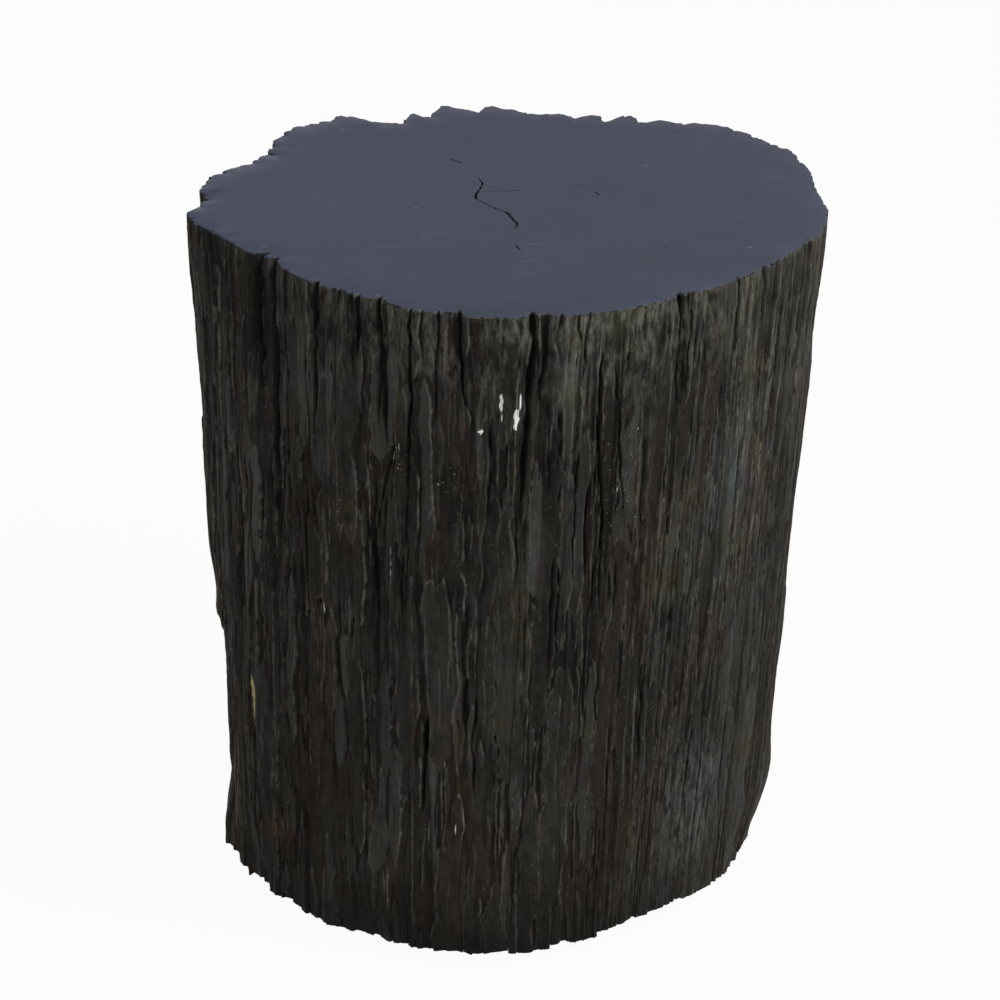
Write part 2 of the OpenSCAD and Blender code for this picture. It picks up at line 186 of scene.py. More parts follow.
# Smooth grey ribbons: (angle in degrees, foot height, head height, width, thickness in mm)
RIBBONS = [
    (275.4, 248, 348, 8.0, 1.5), (281.6, 236, 336, 8.0, 1.4), (280.8, 330, 402, 7.0, 1.4),
    (293.6, 286, 402, 8.0, 1.5), (256.2, 296, 396, 8.5, 1.5), (256.4, 196, 330, 9.0, 1.3),
    (238.0, 290, 356, 7.0, 1.6), (242.6, 358, 416, 7.0, 1.6), (257.8, 108, 164, 6.0, 1.5),
    (266.4, 310, 402, 8.5, 1.3), (228.0, 320, 414, 7.0, 1.6), (235.4, 336, 408, 8.0, 1.6),
    (270.6, 220, 334, 8.0, 1.2), (222.6, 120, 240, 9.0, 1.4), (249.4, 60, 150, 9.0, 1.4),
    (287.4, 90, 210, 8.0, 1.3),
]

# Bare chips: (angle in degrees, height, width, length in mm, kind), kind 0 for pale ash, 1 for unburnt wood
CHIPS = [
    (269.2, 381, 2.2, 12, 0), (269.3, 371, 0.8, 6, 0), (271.7, 370, 3.2, 14, 0),
    (272.4, 381, 1.2, 12, 0), (265.9, 362, 3.4, 2.2, 0), (293.9, 355, 1.0, 2.0, 0),
    (248.8, 268, 0.5, 26, 0), (250.8, 343, 0.6, 10, 0), (249.5, 337, 0.6, 8, 0),
    (294.6, 297, 0.9, 2.4, 0), (290.6, 318, 0.8, 2.2, 0), (208.4, 135, 4.0, 36, 1),
    (207.4, 146, 2.2, 18, 1), (196.0, 84, 2.2, 70, 1), (233.0, 226, 0.6, 7, 0), (262.0, 96, 0.6, 9, 0),
]

# Hairline cracks in the sealing coat beside the fissures: points in mm, width in mm
COAT_CRACKS = [
    ([(-20, 51), (-18.5, 45), (-16.5, 39), (-18, 30), (-21, 18), (-20.5, 10), (-17, 3)], 2.6),
    ([(-19.5, 7), (-17, 3), (-11, -7), (-5, -13), (-2.5, -16)], 1.5),
    ([(-5, -13), (-1, -19), (1, -27), (4, -37), (3, -46)], 3.0),
    ([(-38, 89), (-34, 84), (-31, 81), (-29, 77)], 2.0),
    ([(-16, 22), (-8, 23), (1, 25), (9, 25.5)], 1.6),
    ([(3, -75), (4, -80), (6.5, -87)], 1.3),
    ([(52, 23), (54, 19), (55, 15)], 1.3),
    ([(42, 34), (44.5, 31)], 0.8),
    ([(92, -78), (93, -81)], 1.0),
]


def srgb(r, g, b):
    """A colour given in 0 to 255, as the linear values that shaders take."""
    return tuple(((c / 255 + 0.055) / 1.055) ** 2.4 if c > 10.3 else c / 255 / 12.92 for c in (r, g, b))


def number(name, default, description, **kind):
    return bpy.props.FloatProperty(name=name, description=description, default=default, **kind)


def metres(name, default, description):
    return number(name, default, description, unit="LENGTH", precision=5)


def tint(name, colour, description):
    return bpy.props.FloatVectorProperty(
        name=name, description=description, default=srgb(*colour), subtype="COLOR", min=0, max=1)


class RindSettings(bpy.types.PropertyGroup):
    across: metres("Grain Step", 0.0006, "Spacing of the mesh across the grain")
    along: metres("Length Step", 0.0013, "Spacing of the mesh along the grain")
    lean_x: metres("Lean X", -0.008, "How far the base stands to the left of the top")
    lean_y: metres("Lean Y", 0.002, "How far the base stands behind the top")
    flake: metres("Flake Thickness", 0.0019, "Thickness of the broad flakes")
    fibre: metres("Fibre Height", 0.0006, "Height of the fibres")
    ragged: metres("Ragged Foot", 0.0028, "Most that the foot of the rind is broken away")
    crown: metres("Crown", 0.0015, "How far the edges of a plate in the frame fall away from its middle")
    close: metres("Closing", 0.00075, "How far each plate reaches into the split beside it")
    seed: bpy.props.IntProperty(name="Seed", description="Chooses the flakes and splits", default=11)
    soot: tint("Soot", (17, 18, 16), "Colour of the burnt wood in the hollows")
    ash: tint("Ash Grey", (60, 63, 63), "Colour of the smooth grey flakes")
    olive: tint("Weathered Grey", (63, 63, 50), "Colour of the flakes that have weathered")
    umber: tint("Umber", (59, 45, 33), "Colour of the scorched brown wood")
    # Also the colour of the painted highlights along the edges of the flakes
    ridge_and_highlight: tint("Ridge", (128, 124, 113), "Colour of the worn edges of the fibres")
    dust: tint("Dust", (108, 109, 99), "Colour of the dust below the edge of the top")


class CoatSettings(bpy.types.PropertyGroup):
    slate: tint("Slate", (70, 74, 89), "Colour of the sealing coat")
    cool: tint("Cool Slate", (72, 76, 95), "Colour of the sealing coat on the left")
    worn: tint("Worn Edge", (92, 95, 106), "Colour of the coat where its edge is rubbed")
    bevel: metres("Rounded Edge", 0.0007, "Radius of the edge of the top")


class GlideSettings(bpy.types.PropertyGroup):
    pitch: metres("Thread Pitch", 0.00125, "Pitch of the screw thread")
    zinc: tint("Zinc", (172, 172, 168), "Colour of the plated screw")
    brass: tint("Brass", (186, 154, 84), "Colour of the threaded insert")
    nylon: tint("Nylon", (30, 30, 31), "Colour of the pad")


class StageSettings(bpy.types.PropertyGroup):
    eye: bpy.props.FloatVectorProperty(
        name="Eye", description="Where the camera stands",
        default=(-0.0060, -2.3207, 1.2223), subtype="TRANSLATION")
    pitch: number("Pitch", math.radians(23), "How far the camera looks down", subtype="ANGLE")
    lens: number("Lens", 144, "Focal length for a 36 mm sensor", unit="CAMERA")
    floor: tint("Floor", (205, 205, 204), "Colour of the floor")
    key: number("Key Lamp", 106, "Power of the large lamp", unit="POWER")
    fill: number("Fill Lamp", 12, "Power of the front lamp", unit="POWER")
    back: number("Back Lamp", 30, "Power of the low lamp behind", unit="POWER")
    sky: number("Sky", 0.2, "Strength of the even light", min=0)


# Fields over the unrolled rind

def unit(x):
    """Cuts values off at 0 and 1."""
    return np.clip(x, 0, 1)


def smooth(x):
    """A soft step from 0 to 1."""
    x = unit(x)
    return x * x * (3 - 2 * x)


def bell(x, spread, power=2):
    """A soft bump of height 1 about zero, flatter at a higher power."""
    return np.exp(-(np.abs(x) / spread) ** power)


def field(rng, shape, cell_rows, cell_cols):
    """A smooth random field from -1 to 1 that closes round the log, with its columns at uneven paces."""
    rows, cols = shape
    nc = max(3, round(cols / cell_cols))
    pace = rng.uniform(0.75, 1.35, nc) / cell_rows
    r = np.arange(rows)[:, None] * pace + rng.uniform(0, 9, nc)
    knots = rng.uniform(-1, 1, (int(r.max()) + 2, nc))
    r0 = r.astype(int)
    own = np.arange(nc)
    strands = knots[r0, own] + (knots[r0 + 1, own] - knots[r0, own]) * smooth(r - r0)
    at = (own + rng.uniform(-0.35, 0.35, nc)) * cols / nc
    at = np.concatenate([at[-1:] - cols, at, at[:1] + cols])
    strands = np.concatenate([strands[:, -1:], strands, strands[:, :1]], 1)
    c = np.arange(cols)
    c0 = np.clip(np.searchsorted(at, c, side="right") - 1, 0, nc)
    f = smooth((c - at[c0]) / (at[c0 + 1] - at[c0]))
    return strands[:, c0] * (1 - f) + strands[:, c0 + 1] * f


def soften(values, rows, cols):
    """A running mean over that many rows and columns each way, closed round the log."""
    for axis, reach in ((0, rows), (1, cols)):
        pad = [(0, 0), (0, 0)]
        pad[axis] = (reach + 1, reach)
        total = np.cumsum(np.pad(values, pad, mode="wrap" if axis else "edge"), axis=axis)
        span = 2 * reach + 1
        values = (total[:, span:] - total[:, :-span] if axis else total[span:] - total[:-span]) / span
    return values


class Bark:
    """The unrolled rind: radius, height, tone and wear at each point, in mm."""

    def __init__(self, settings, plates):
        self.rng = np.random.default_rng(settings.seed)
        self.cols = int(round(AROUND / 0.5))
        self.rows = LOG_TOP + 4
        self.ds, self.dz = AROUND / self.cols, 1.0
        self.shape = (self.rows, self.cols)
        self.s = np.arange(self.cols) * self.ds
        self.z = np.arange(self.rows) * self.dz
        # The same as one row and one column, which spread over the whole rind
        self.degrees = np.degrees(self.s / DRUM)[None, :]
        self.up = self.z[:, None]
        self.base = self.trunk(plates, settings.crown / MM)
        # The right of the log is straight and fine in the grain, the left and front are flaky
        self.fine = np.broadcast_to(smooth(0.12 + 0.95 * self.facing(FINE_SIDE)), self.shape)
        self.lay_bark(settings.flake / MM, settings.fibre / MM)
        self.open_bark()
        self.mark_bark()
        scallop = 0.5 + 0.7 * self.noise(60, 14) + 0.15 * self.noise(60, 5)
        self.foot = np.clip(scallop, 0, 1.2) - 1.7 * bell(self.turn_from(208), 8)

    def lay_bark(self, flake, fibre):
        """Lays the flakes, fibres and ribbons over a wavy bed, and gives them their tone, with painted
        light on the side that faces the key lamp and painted shade low down.
        """
        self.bed = 0.9 * self.noise(150, 30) + 0.5 * self.noise(60, 11)
        self.height = self.bed - 0.5 * flake + fibre * 0.6 * self.noise(40, 2.4)
        self.tone = np.full(self.shape, 0.18)
        self.edge = np.zeros(self.shape)
        self.brown = smooth(0.22 + 1.0 * self.noise(80, 22) + 0.4 * self.noise(26, 5))
        self.brown = self.brown + 0.72 * smooth((230 - self.up) / 170)
        self.brown = unit(self.brown + 0.25 * smooth((self.facing(330) - 0.6) / 0.3))
        for count, width, length, thick in FLAKES:
            for _ in range(count):
                self.lay_flake(width, length, thick, flake)
        for _ in range(FIBRES):
            self.lay_fibre(fibre)
        for angle, low, high, width, thick in RIBBONS:
            drift = self.rng.uniform(-2, 2)
            self.stamp(math.radians(angle) * DRUM, low, high, width, thick, drift, 0.66, 0.05, 0.6)
        self.tone = self.tone + 0.13 * self.noise(8, 5)
        self.tone = self.tone + 0.16 * self.noise(40, 12) + 0.26 * self.noise(100, 30)
        # Tone patches, some of them painted shadow
        for angle, wide, height, tall, tone in TONES_AND_SHADOWS:
            self.tone = self.tone + tone * self.spot(angle, height, wide, tall)
        # Painted light: lighter on the side that faces the key lamp
        self.tone = self.tone + 0.13 * smooth((self.facing(336) - 0.75) / 0.2)
        # Painted shade: darker towards the foot
        self.tone = unit(self.tone * (0.76 + 0.24 * smooth((self.up - 60) / 320)))
        self.height = self.height + fibre * (0.3 * self.noise(60, 1.6) + 0.35 * self.noise(10, 3.0))
        # The sawn rim is crisper than the face below it, but for the crumbled back
        calm = 0.4 + 0.6 * smooth((LOG_TOP - 3 - self.up) / 22)
        calm = calm + (1 - calm) * smooth(0.1 + 0.9 * self.facing(CRUMBLED_BACK))
        self.height = self.bed + (self.height - self.bed) * calm

    def open_bark(self):
        """Opens the splits, and finds the hollows that get painted shade and the edges that get a painted
        highlight.
        """
        for points, width, depth in FISSURES:
            self.carve(points, width, depth)
        for points, width, depth in RECESSES:
            self.hollow(points, width, depth)
        for _ in range(SMALL_SPLITS):
            self.open_split()
        broad = soften(soften(self.height, 12, 9), 12, 9)
        # Painted shade: places lower than the softened face round them are darkened
        self.painted_shade = unit((broad - self.height - 0.15) / 2.0)
        # Painted highlight: the bare ridges on the right, which faces the key lamp, are paler
        bright = (0.95 - 0.5 * self.fine) * (1 + 1.6 * self.spot(328, 330, 15, 90))
        self.edge = unit(self.edge * bright) * (1 - self.painted_shade)
        # Painted shade along the foot, on the front
        foot_shade = smooth((self.facing(SHADED_FOOT) - 0.3) / 0.4) * smooth((60 - self.up) / 56)
        self.painted_shade = np.maximum(self.painted_shade, 0.7 * foot_shade)

    def mark_bark(self):
        """Lays the marks that are colour alone: chips, dust, specks, scorched and bluish places."""
        self.chip = np.zeros(self.shape)
        self.bare = np.zeros(self.shape)
        for angle, height, width, length, kind in CHIPS:
            self.bare_chip(angle, height, width, length, self.bare if kind else self.chip)
        self.dust = self.settled_dust()
        self.speck = self.spots(SPECKLED, 0.04)
        self.rust = self.spots(SCORCHED, 0.0)
        self.blue = unit(0.6 * self.spot(318, 310, 6, 30) + self.spot(317, 82, 8, 46))

    def spot(self, degrees, height, wide, tall):
        """A soft round mask, its size in degrees and mm."""
        return bell(self.degrees - degrees, wide) * bell(self.up - height, tall)

    def spots(self, places, ground):
        """The strongest of a list of soft spots at each point, over an even ground."""
        mask = np.full(self.shape, ground)
        for angle, wide, height, tall, strength in places:
            mask = np.maximum(mask, strength * self.spot(angle, height, wide, tall))
        return mask

    def noise(self, along, across):
        """A smooth random field from -1 to 1 with features of that many mm."""
        return field(self.rng, self.shape, along / self.dz, across / self.ds)

    def facing(self, degrees):
        """How far each column faces that way, from -1 to 1."""
        return np.cos(np.radians(self.degrees - degrees))

    def turn_from(self, degrees):
        """How far each column stands from that angle, from -180 to 180 degrees."""
        return (self.degrees - degrees + 180) % 360 - 180

    def broken_ends(self):
        """How far the rim's tongues and the foot's flares stand out, with notches below zero."""
        ends = np.zeros(self.shape)
        head = smooth((self.up - 342.5) / 90)
        for centre, spread, stand in RIM:
            ends += stand * bell(self.turn_from(centre), spread, 3) * (head if stand > 0 else head ** 2)
        low = unit(1 - (self.up - 4) / 50)
        for centre, spread, stand in FEET:
            ends += stand * bell(self.turn_from(centre), spread) * low
        return ends

    def trunk(self, plates, crown_drop):
        """The radius of the trunk: the plates of the frame, run together over their splits."""
        ends = self.broken_ends()
        total = np.zeros(self.shape)
        weight = np.zeros(self.shape)
        for plate in plates:
            first = np.interp(self.z, plate.z, plate.first)[:, None]
            last = np.interp(self.z, plate.z, plate.last)[:, None]
            share = ((self.s / DRUM - first) % (2 * math.pi)) / (last - first)
            rows, cols = np.nonzero(share <= 1)
            t = share[rows, cols]
            crown = crown_drop * (1 - np.sin(np.pi * t))
            total[rows, cols] += plate.sample(plate.outer, t, self.z[rows]) + crown - ends[rows, cols]
            weight[rows, cols] += 1
        short = soften(total, 3, 16) / soften(weight, 3, 16)
        long = soften(soften(short, 30, 8), 20, 8)
        # On the left the step between two ledges stays sharp, and stands a little higher
        stepped = bell(self.degrees - STEPPED_SIDE, 11, 4)
        rise = 10
        raised = np.concatenate([np.repeat(short[:1], rise, 0), short[:-rise]])
        base = long + (1 - stepped) * 0.12 * (short - long) + stepped * (raised - long) + ends
        for centre, wide, height, tall, stand in DENTS:
            base = base + stand * bell(self.turn_from(centre), wide) * bell(self.up - height, tall)
        lip = smooth((self.up - 396) / 30)
        for _ in range(RIM_NICKS):
            away = self.turn_from(self.rng.uniform(20, 178))
            nick = bell(away, self.rng.uniform(0.3, 1.0), 3)
            base = base + self.rng.uniform(-3, 1.5) * nick * lip
        return base

    def settled_dust(self):
        """Dust below the rim, thickest in front, a pale line along it and a bleached patch low down."""
        front = smooth(-0.45 + 1.4 * self.facing(272))
        below = smooth((self.up - 345) / 80) ** 1.3 * front
        line = 0.7 * smooth((self.up - 428.5) / 3) * smooth(-0.35 + 1.3 * self.facing(DUSTY_RIM))
        thick = 0.6 * bell(self.degrees - 285, 7) * smooth((self.up - 370) / 50)
        dust = (0.9 * below + thick) * smooth(0.5 + 0.9 * self.noise(22, 12) + 0.5 * self.noise(7, 3))
        dust = np.maximum(dust, line * smooth(0.55 + 0.9 * self.noise(20, 6)))
        return unit(dust + 0.55 * self.spot(316, 90, 7, 42) * smooth(0.6 + 0.6 * self.noise(30, 7)))

    def window(self, s0, s1, z0, z1):
        """The rows and columns of a patch, its columns not yet closed round the log."""
        c = np.arange(int(math.floor(s0 / self.ds)), int(math.ceil(s1 / self.ds)) + 1)
        r0 = max(0, int(math.floor(z0 / self.dz)))
        r1 = min(self.rows, int(math.ceil(z1 / self.dz)) + 1)
        return np.arange(r0, r1), c

    def uneven(self, v, count, low, high):
        """Random values from low to high at that many even steps, run together at each share v."""
        return np.interp(v, np.linspace(0, 1, count), self.rng.uniform(low, high, count))

    def stamp(self, s, low, high, width, thick, drift, tone, brown, pale):
        """Lays one flake: it lifts towards one edge, and its ends run out or break off ragged."""
        rng = self.rng
        r, c = self.window(s - width - abs(drift), s + width + abs(drift), low, high)
        if len(r) < 3:
            return
        z = self.up[r]
        length = high - low
        v = unit((z - low) / length)
        bends = max(4, int(length / 13))
        jolts = max(4, int(length / 4))
        swell = self.uneven(v, bends, 0.58, 1.0)
        waver = 0.15 * width * self.uneven(v, bends, -1, 1)
        waver = waver + 0.3 * self.uneven(v, jolts, -1, 1)
        u = (c * self.ds)[None, :] - (s + drift * (v - 0.5) + waver)
        ragged = np.linspace(-0.6, 0.6, 7) * width
        jag = min(10.0, 0.16 * length)
        up = z - low - jag * np.interp(u, ragged, rng.uniform(0, 1, 7))
        down = high - z - jag * np.interp(u, ragged, rng.uniform(0, 1, 7))
        point = rng.uniform(2, min(0.3 * length + 3, 24), 2)
        ends = unit(up / point[0]) ** 0.6 * unit(down / point[1]) ** 0.6
        half = np.maximum(width / 2 * swell * ends, 0.02)
        side = rng.choice((-1, 1), p=(0.35, 0.65))
        rim = unit((half - np.abs(u)) / 0.5) * unit(np.minimum(up, down) / 2)
        lift = 0.3 + 0.7 * unit(0.5 + 0.5 * side * u / half)
        curl = 1 + rng.uniform(-0.4, 0.4) * (v - 0.5)
        ix = np.ix_(r, c % self.cols)
        h = self.bed[ix] + thick * curl * lift * np.sqrt(rim) - 0.3
        over = (rim > 0) & (h > self.height[ix])
        # A pale line along one side of each flake: a worn edge and a painted highlight
        line = pale * unit(1 - (half - side * u) / 1.2)
        self.height[ix] = np.where(over, h, self.height[ix])
        self.tone[ix] = np.where(over, tone, self.tone[ix])
        self.edge[ix] = np.where(over, line, self.edge[ix])
        self.brown[ix] = np.where(over, 0.6 * brown + 0.4 * self.brown[ix], self.brown[ix])

    def fineness(self, s):
        """How fine the grain is at a place round the log, from 0 to 1."""
        return self.fine[0, int(s / self.ds) % self.cols]

    def lay_flake(self, width, length, thick, flake):
        """Lays one flake at random: about a third are smooth and grey, the others dark or brown."""
        rng = self.rng
        s = rng.uniform(0, AROUND)
        w = rng.uniform(*width)
        n = rng.uniform(*length)
        z = rng.uniform(-20, LOG_TOP + 16)
        fine = self.fineness(s)
        if rng.random() < 0.6 * fine:
            w = min(w * 0.5, 4)
            n = n * 1.5
        t = rng.uniform(*thick) * flake * (1 - 0.4 * fine)
        grey = rng.random() < 0.34
        tone = rng.uniform(0.3, 0.7) if grey else rng.uniform(0.03, 0.3)
        brown = rng.uniform(0, 0.15) if grey else rng.uniform(0.0, 0.8)
        pale = rng.random() ** 1.4
        drift = rng.uniform(-0.04, 0.04) * n
        self.stamp(s, z - n / 2, z + n / 2, w, t, drift, tone, brown, pale)

    def lay_fibre(self, fibre):
        """Lays one long thin fibre: they are close together on the straight-grained side."""
        rng = self.rng
        s = rng.uniform(0, AROUND)
        if rng.random() > 0.06 + 0.85 * self.fineness(s):
            return
        n = rng.uniform(25, 140)
        z = rng.uniform(-20, LOG_TOP + 16)
        t = fibre * rng.uniform(1.0, 2.2)
        tone = rng.uniform(0.1, 0.55)
        pale = rng.random() ** 1.8
        w = rng.uniform(0.9, 2.4)
        drift = rng.uniform(-1.2, 1.2)
        brown = rng.uniform(0, 0.8)
        self.stamp(s, z - n / 2, z + n / 2, w, t, drift, tone, brown, pale)

    def trace(self, points, margin):
        """A route given from its head down: its heights and places from the foot up, and its patch."""
        zs = np.array([p[1] for p in points][::-1], float)
        ss = np.array([math.radians(p[0]) * DRUM for p in points][::-1])
        r, c = self.window(ss.min() - margin, ss.max() + margin, zs[0], zs[-1] + 6)
        v = unit((self.z[r] - zs[0]) / (zs[-1] - zs[0]))
        return zs, r, c, v, np.interp(self.z[r], zs, ss)

    def carve(self, points, width, depth):
        """Opens a split along points of angle and height: sharp at its foot and widest at its head."""
        zs, r, c, v, mid = self.trace(points, 4 * width)
        knots = max(4, int((zs[-1] - zs[0]) / 7))
        mid = mid + self.uneven(v, knots, -0.8, 0.8)
        gape = np.sqrt(unit(v * 3)) * (0.55 + 0.45 * v)
        gape = gape * self.uneven(v, knots, 0.6, 1.15)
        if zs[-1] < LOG_TOP - 4:
            gape = gape * np.sqrt(unit((1 - v) * 5))
        half = np.maximum(width / 2 * gape, 0.05)[:, None]
        u = np.abs((c * self.ds)[None, :] - mid[:, None]) / half
        self.height[np.ix_(r, c % self.cols)] -= depth * gape[:, None] * unit(1.35 - u) ** 0.7

    def hollow(self, points, width, depth):
        """Sinks a flat strip between two flakes, and darkens it with painted shade."""
        zs, r, c, v, mid = self.trace(points, 2 * width)
        knots = max(5, int((zs[-1] - zs[0]) / 11))
        left = self.uneven(v, knots, 0.3, 1.2)[:, None] * width / 2
        right = self.uneven(v, knots, 0.3, 1.2)[:, None] * width / 2
        fade = unit(v * 4) ** 0.5
        if zs[-1] < LOG_TOP - 4:
            fade = fade * unit((1 - v) * 6) ** 0.5
        u = (c * self.ds)[None, :] - mid[:, None]
        inside = unit(np.minimum(left + u, right - u) / 1.2) * fade[:, None]
        ix = np.ix_(r, c % self.cols)
        strands = np.arange(c[0], c[-1] + 4, 3)
        strand = np.interp(c, strands, self.rng.uniform(0.45, 1.15, len(strands)))
        self.height[ix] -= depth * inside * strand[None, :]
        # Painted shade in the strip
        self.tone[ix] = self.tone[ix] * (1 - 0.75 * inside)
        self.edge[ix] = self.edge[ix] * (1 - inside)

    def open_split(self):
        """Opens one small split at random, one in five of them at the rim."""
        rng = self.rng
        a = rng.uniform(0, 360)
        top = LOG_TOP + 6 if rng.random() < 0.2 else rng.uniform(60, 420)
        n = rng.uniform(25, 130)
        a2 = a + rng.uniform(-0.9, 0.9)
        points = [(a, top), (a2, top - n / 2), (a, top - n)]
        self.carve(points, rng.uniform(1.0, 2.6), rng.uniform(1.5, 4.0))

    def bare_chip(self, angle, height, width, length, mask):
        """Adds one pointed, uneven chip to a mask."""
        s = math.radians(angle) * DRUM
        r, c = self.window(s - width * 2, s + width * 2, height - length / 2, height + length / 2)
        v = (self.z[r] - height) / (length / 2)
        knots = np.linspace(-1, 1, max(5, int(length / 2)))
        wave = np.interp(v, knots, self.rng.uniform(-0.2, 0.2, len(knots))) * width
        thin = np.interp(v, knots, self.rng.uniform(0.45, 1.0, len(knots)))
        half = (width / 2 * np.sqrt(unit(1 - v ** 2)) * thin)[:, None] + 0.05
        u = np.abs((c * self.ds)[None, :] - (s + wave)[:, None])
        ix = np.ix_(r, c % self.cols)
        mask[ix] = np.maximum(mask[ix], unit((half - u) / 0.5 + 0.5))

    def look(self, values, s, z):
        """The field at each point s, z, in mm."""
        c = (s / self.ds) % self.cols
        r = np.clip(z / self.dz, 0, self.rows - 1.001)
        c0 = np.floor(c).astype(int) % self.cols
        c1 = (c0 + 1) % self.cols
        r0 = np.floor(r).astype(int)
        fc = c - np.floor(c)
        fr = r - r0
        return ((values[r0, c0] * (1 - fc) + values[r0, c1] * fc) * (1 - fr)
                + (values[r0 + 1, c0] * (1 - fc) + values[r0 + 1, c1] * fc) * fr)


# Meshes

def new_object(name, points, faces, material, smooth_angle=50):
    """A piece from points in metres and a list of faces."""
    mesh = bpy.data.meshes.new(name)
    mesh.from_pydata(points, [], faces)
    mesh.validate()
    mesh.update()
    mesh.polygons.foreach_set("use_smooth", [True] * len(mesh.polygons))
    mesh.set_sharp_from_angle(angle=math.radians(smooth_angle))
    mesh.materials.append(material)
    obj = bpy.data.objects.new(name, mesh)
    bpy.context.scene.collection.objects.link(obj)
    return obj


def paint(obj, name, red, green, blue, alpha=None):
    """Stores up to four values at each point, for the material to read."""
    alpha = np.zeros_like(red) if alpha is None else alpha
    layer = obj.data.attributes.new(name, "FLOAT_COLOR", "POINT")
    layer.data.foreach_set("color", np.stack([red, green, blue, alpha], 1).astype(np.float32).ravel())


def dress(obj, body, slot, *nodes):
    """Says what a piece rides on and hides the nodes that it stands for; the finish that it is given is not
    used.
    """
    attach(obj, body)
    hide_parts(*nodes)


def log_axis(z_mm):
    """The middle of the log at each height, in mm."""
    base = np.mean([[(a[k] + b[k]) / 2 / MM for k in (0, 1)] for a, b in PADS], axis=0)
    p = bpy.context.scene.log_rind
    share = (np.asarray(z_mm, float) * MM - HEART[0][2]) / (HEART[1][2] - HEART[0][2])
    return base - np.multiply.outer(share, np.array([p.lean_x, p.lean_y]) / MM)


class Plate:
    """The shape of one rind plate in the frame: its rings of outer and inner points."""

    def __init__(self, name):
        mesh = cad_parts[name].data
        co = np.empty(len(mesh.vertices) * 3)
        mesh.vertices.foreach_get("co", co)
        co = np.unique(np.round(co.reshape(-1, 3) / MM, 3), axis=0)
        levels = np.unique(np.round(co[:, 2], 2))
        rings = []
        for z in levels:
            ring = co[np.abs(co[:, 2] - z) < 0.02]
            d = ring[:, :2] - log_axis(z)
            r = np.hypot(d[:, 0], d[:, 1])
            middle = math.atan2(d[:, 1].mean(), d[:, 0].mean())
            a = (np.arctan2(d[:, 1], d[:, 0]) - middle + math.pi) % (2 * math.pi) - math.pi + middle
            order = np.argsort(a)
            outer = [k for k in order if self.is_outer(k, a, r)]
            inner = [k for k in order if not self.is_outer(k, a, r)]
            rings.append((z, a[outer], r[outer], r[inner]))
        self.z = np.array([g[0] for g in rings])
        self.first = np.unwrap([g[1][0] for g in rings])
        self.last = self.first + np.array([g[1][-1] - g[1][0] for g in rings])
        self.outer = np.array([g[2] for g in rings])
        self.inner = np.array([g[3] for g in rings])

    @staticmethod
    def is_outer(k, a, r):
        twin = np.abs(a - a[k]) < 1e-4
        return r[k] >= r[twin].max() - 1e-6

    def sample(self, table, t, z):
        """A table over the rings, at shares t across and heights z."""
        n = table.shape[1] - 1
        k = np.clip((t * n).astype(int), 0, n - 1)
        f = t * n - k
        f = f * f * (3 - 2 * f) * 0.5 + f * 0.5
        i = np.clip(np.searchsorted(self.z, z) - 1, 0, len(self.z) - 2)
        g = np.clip((z - self.z[i]) / (self.z[i + 1] - self.z[i]), 0, 1)
        low = table[i, k] * (1 - f) + table[i, k + 1] * f
        high = table[i + 1, k] * (1 - f) + table[i + 1, k + 1] * f
        return low * (1 - g) + high * g


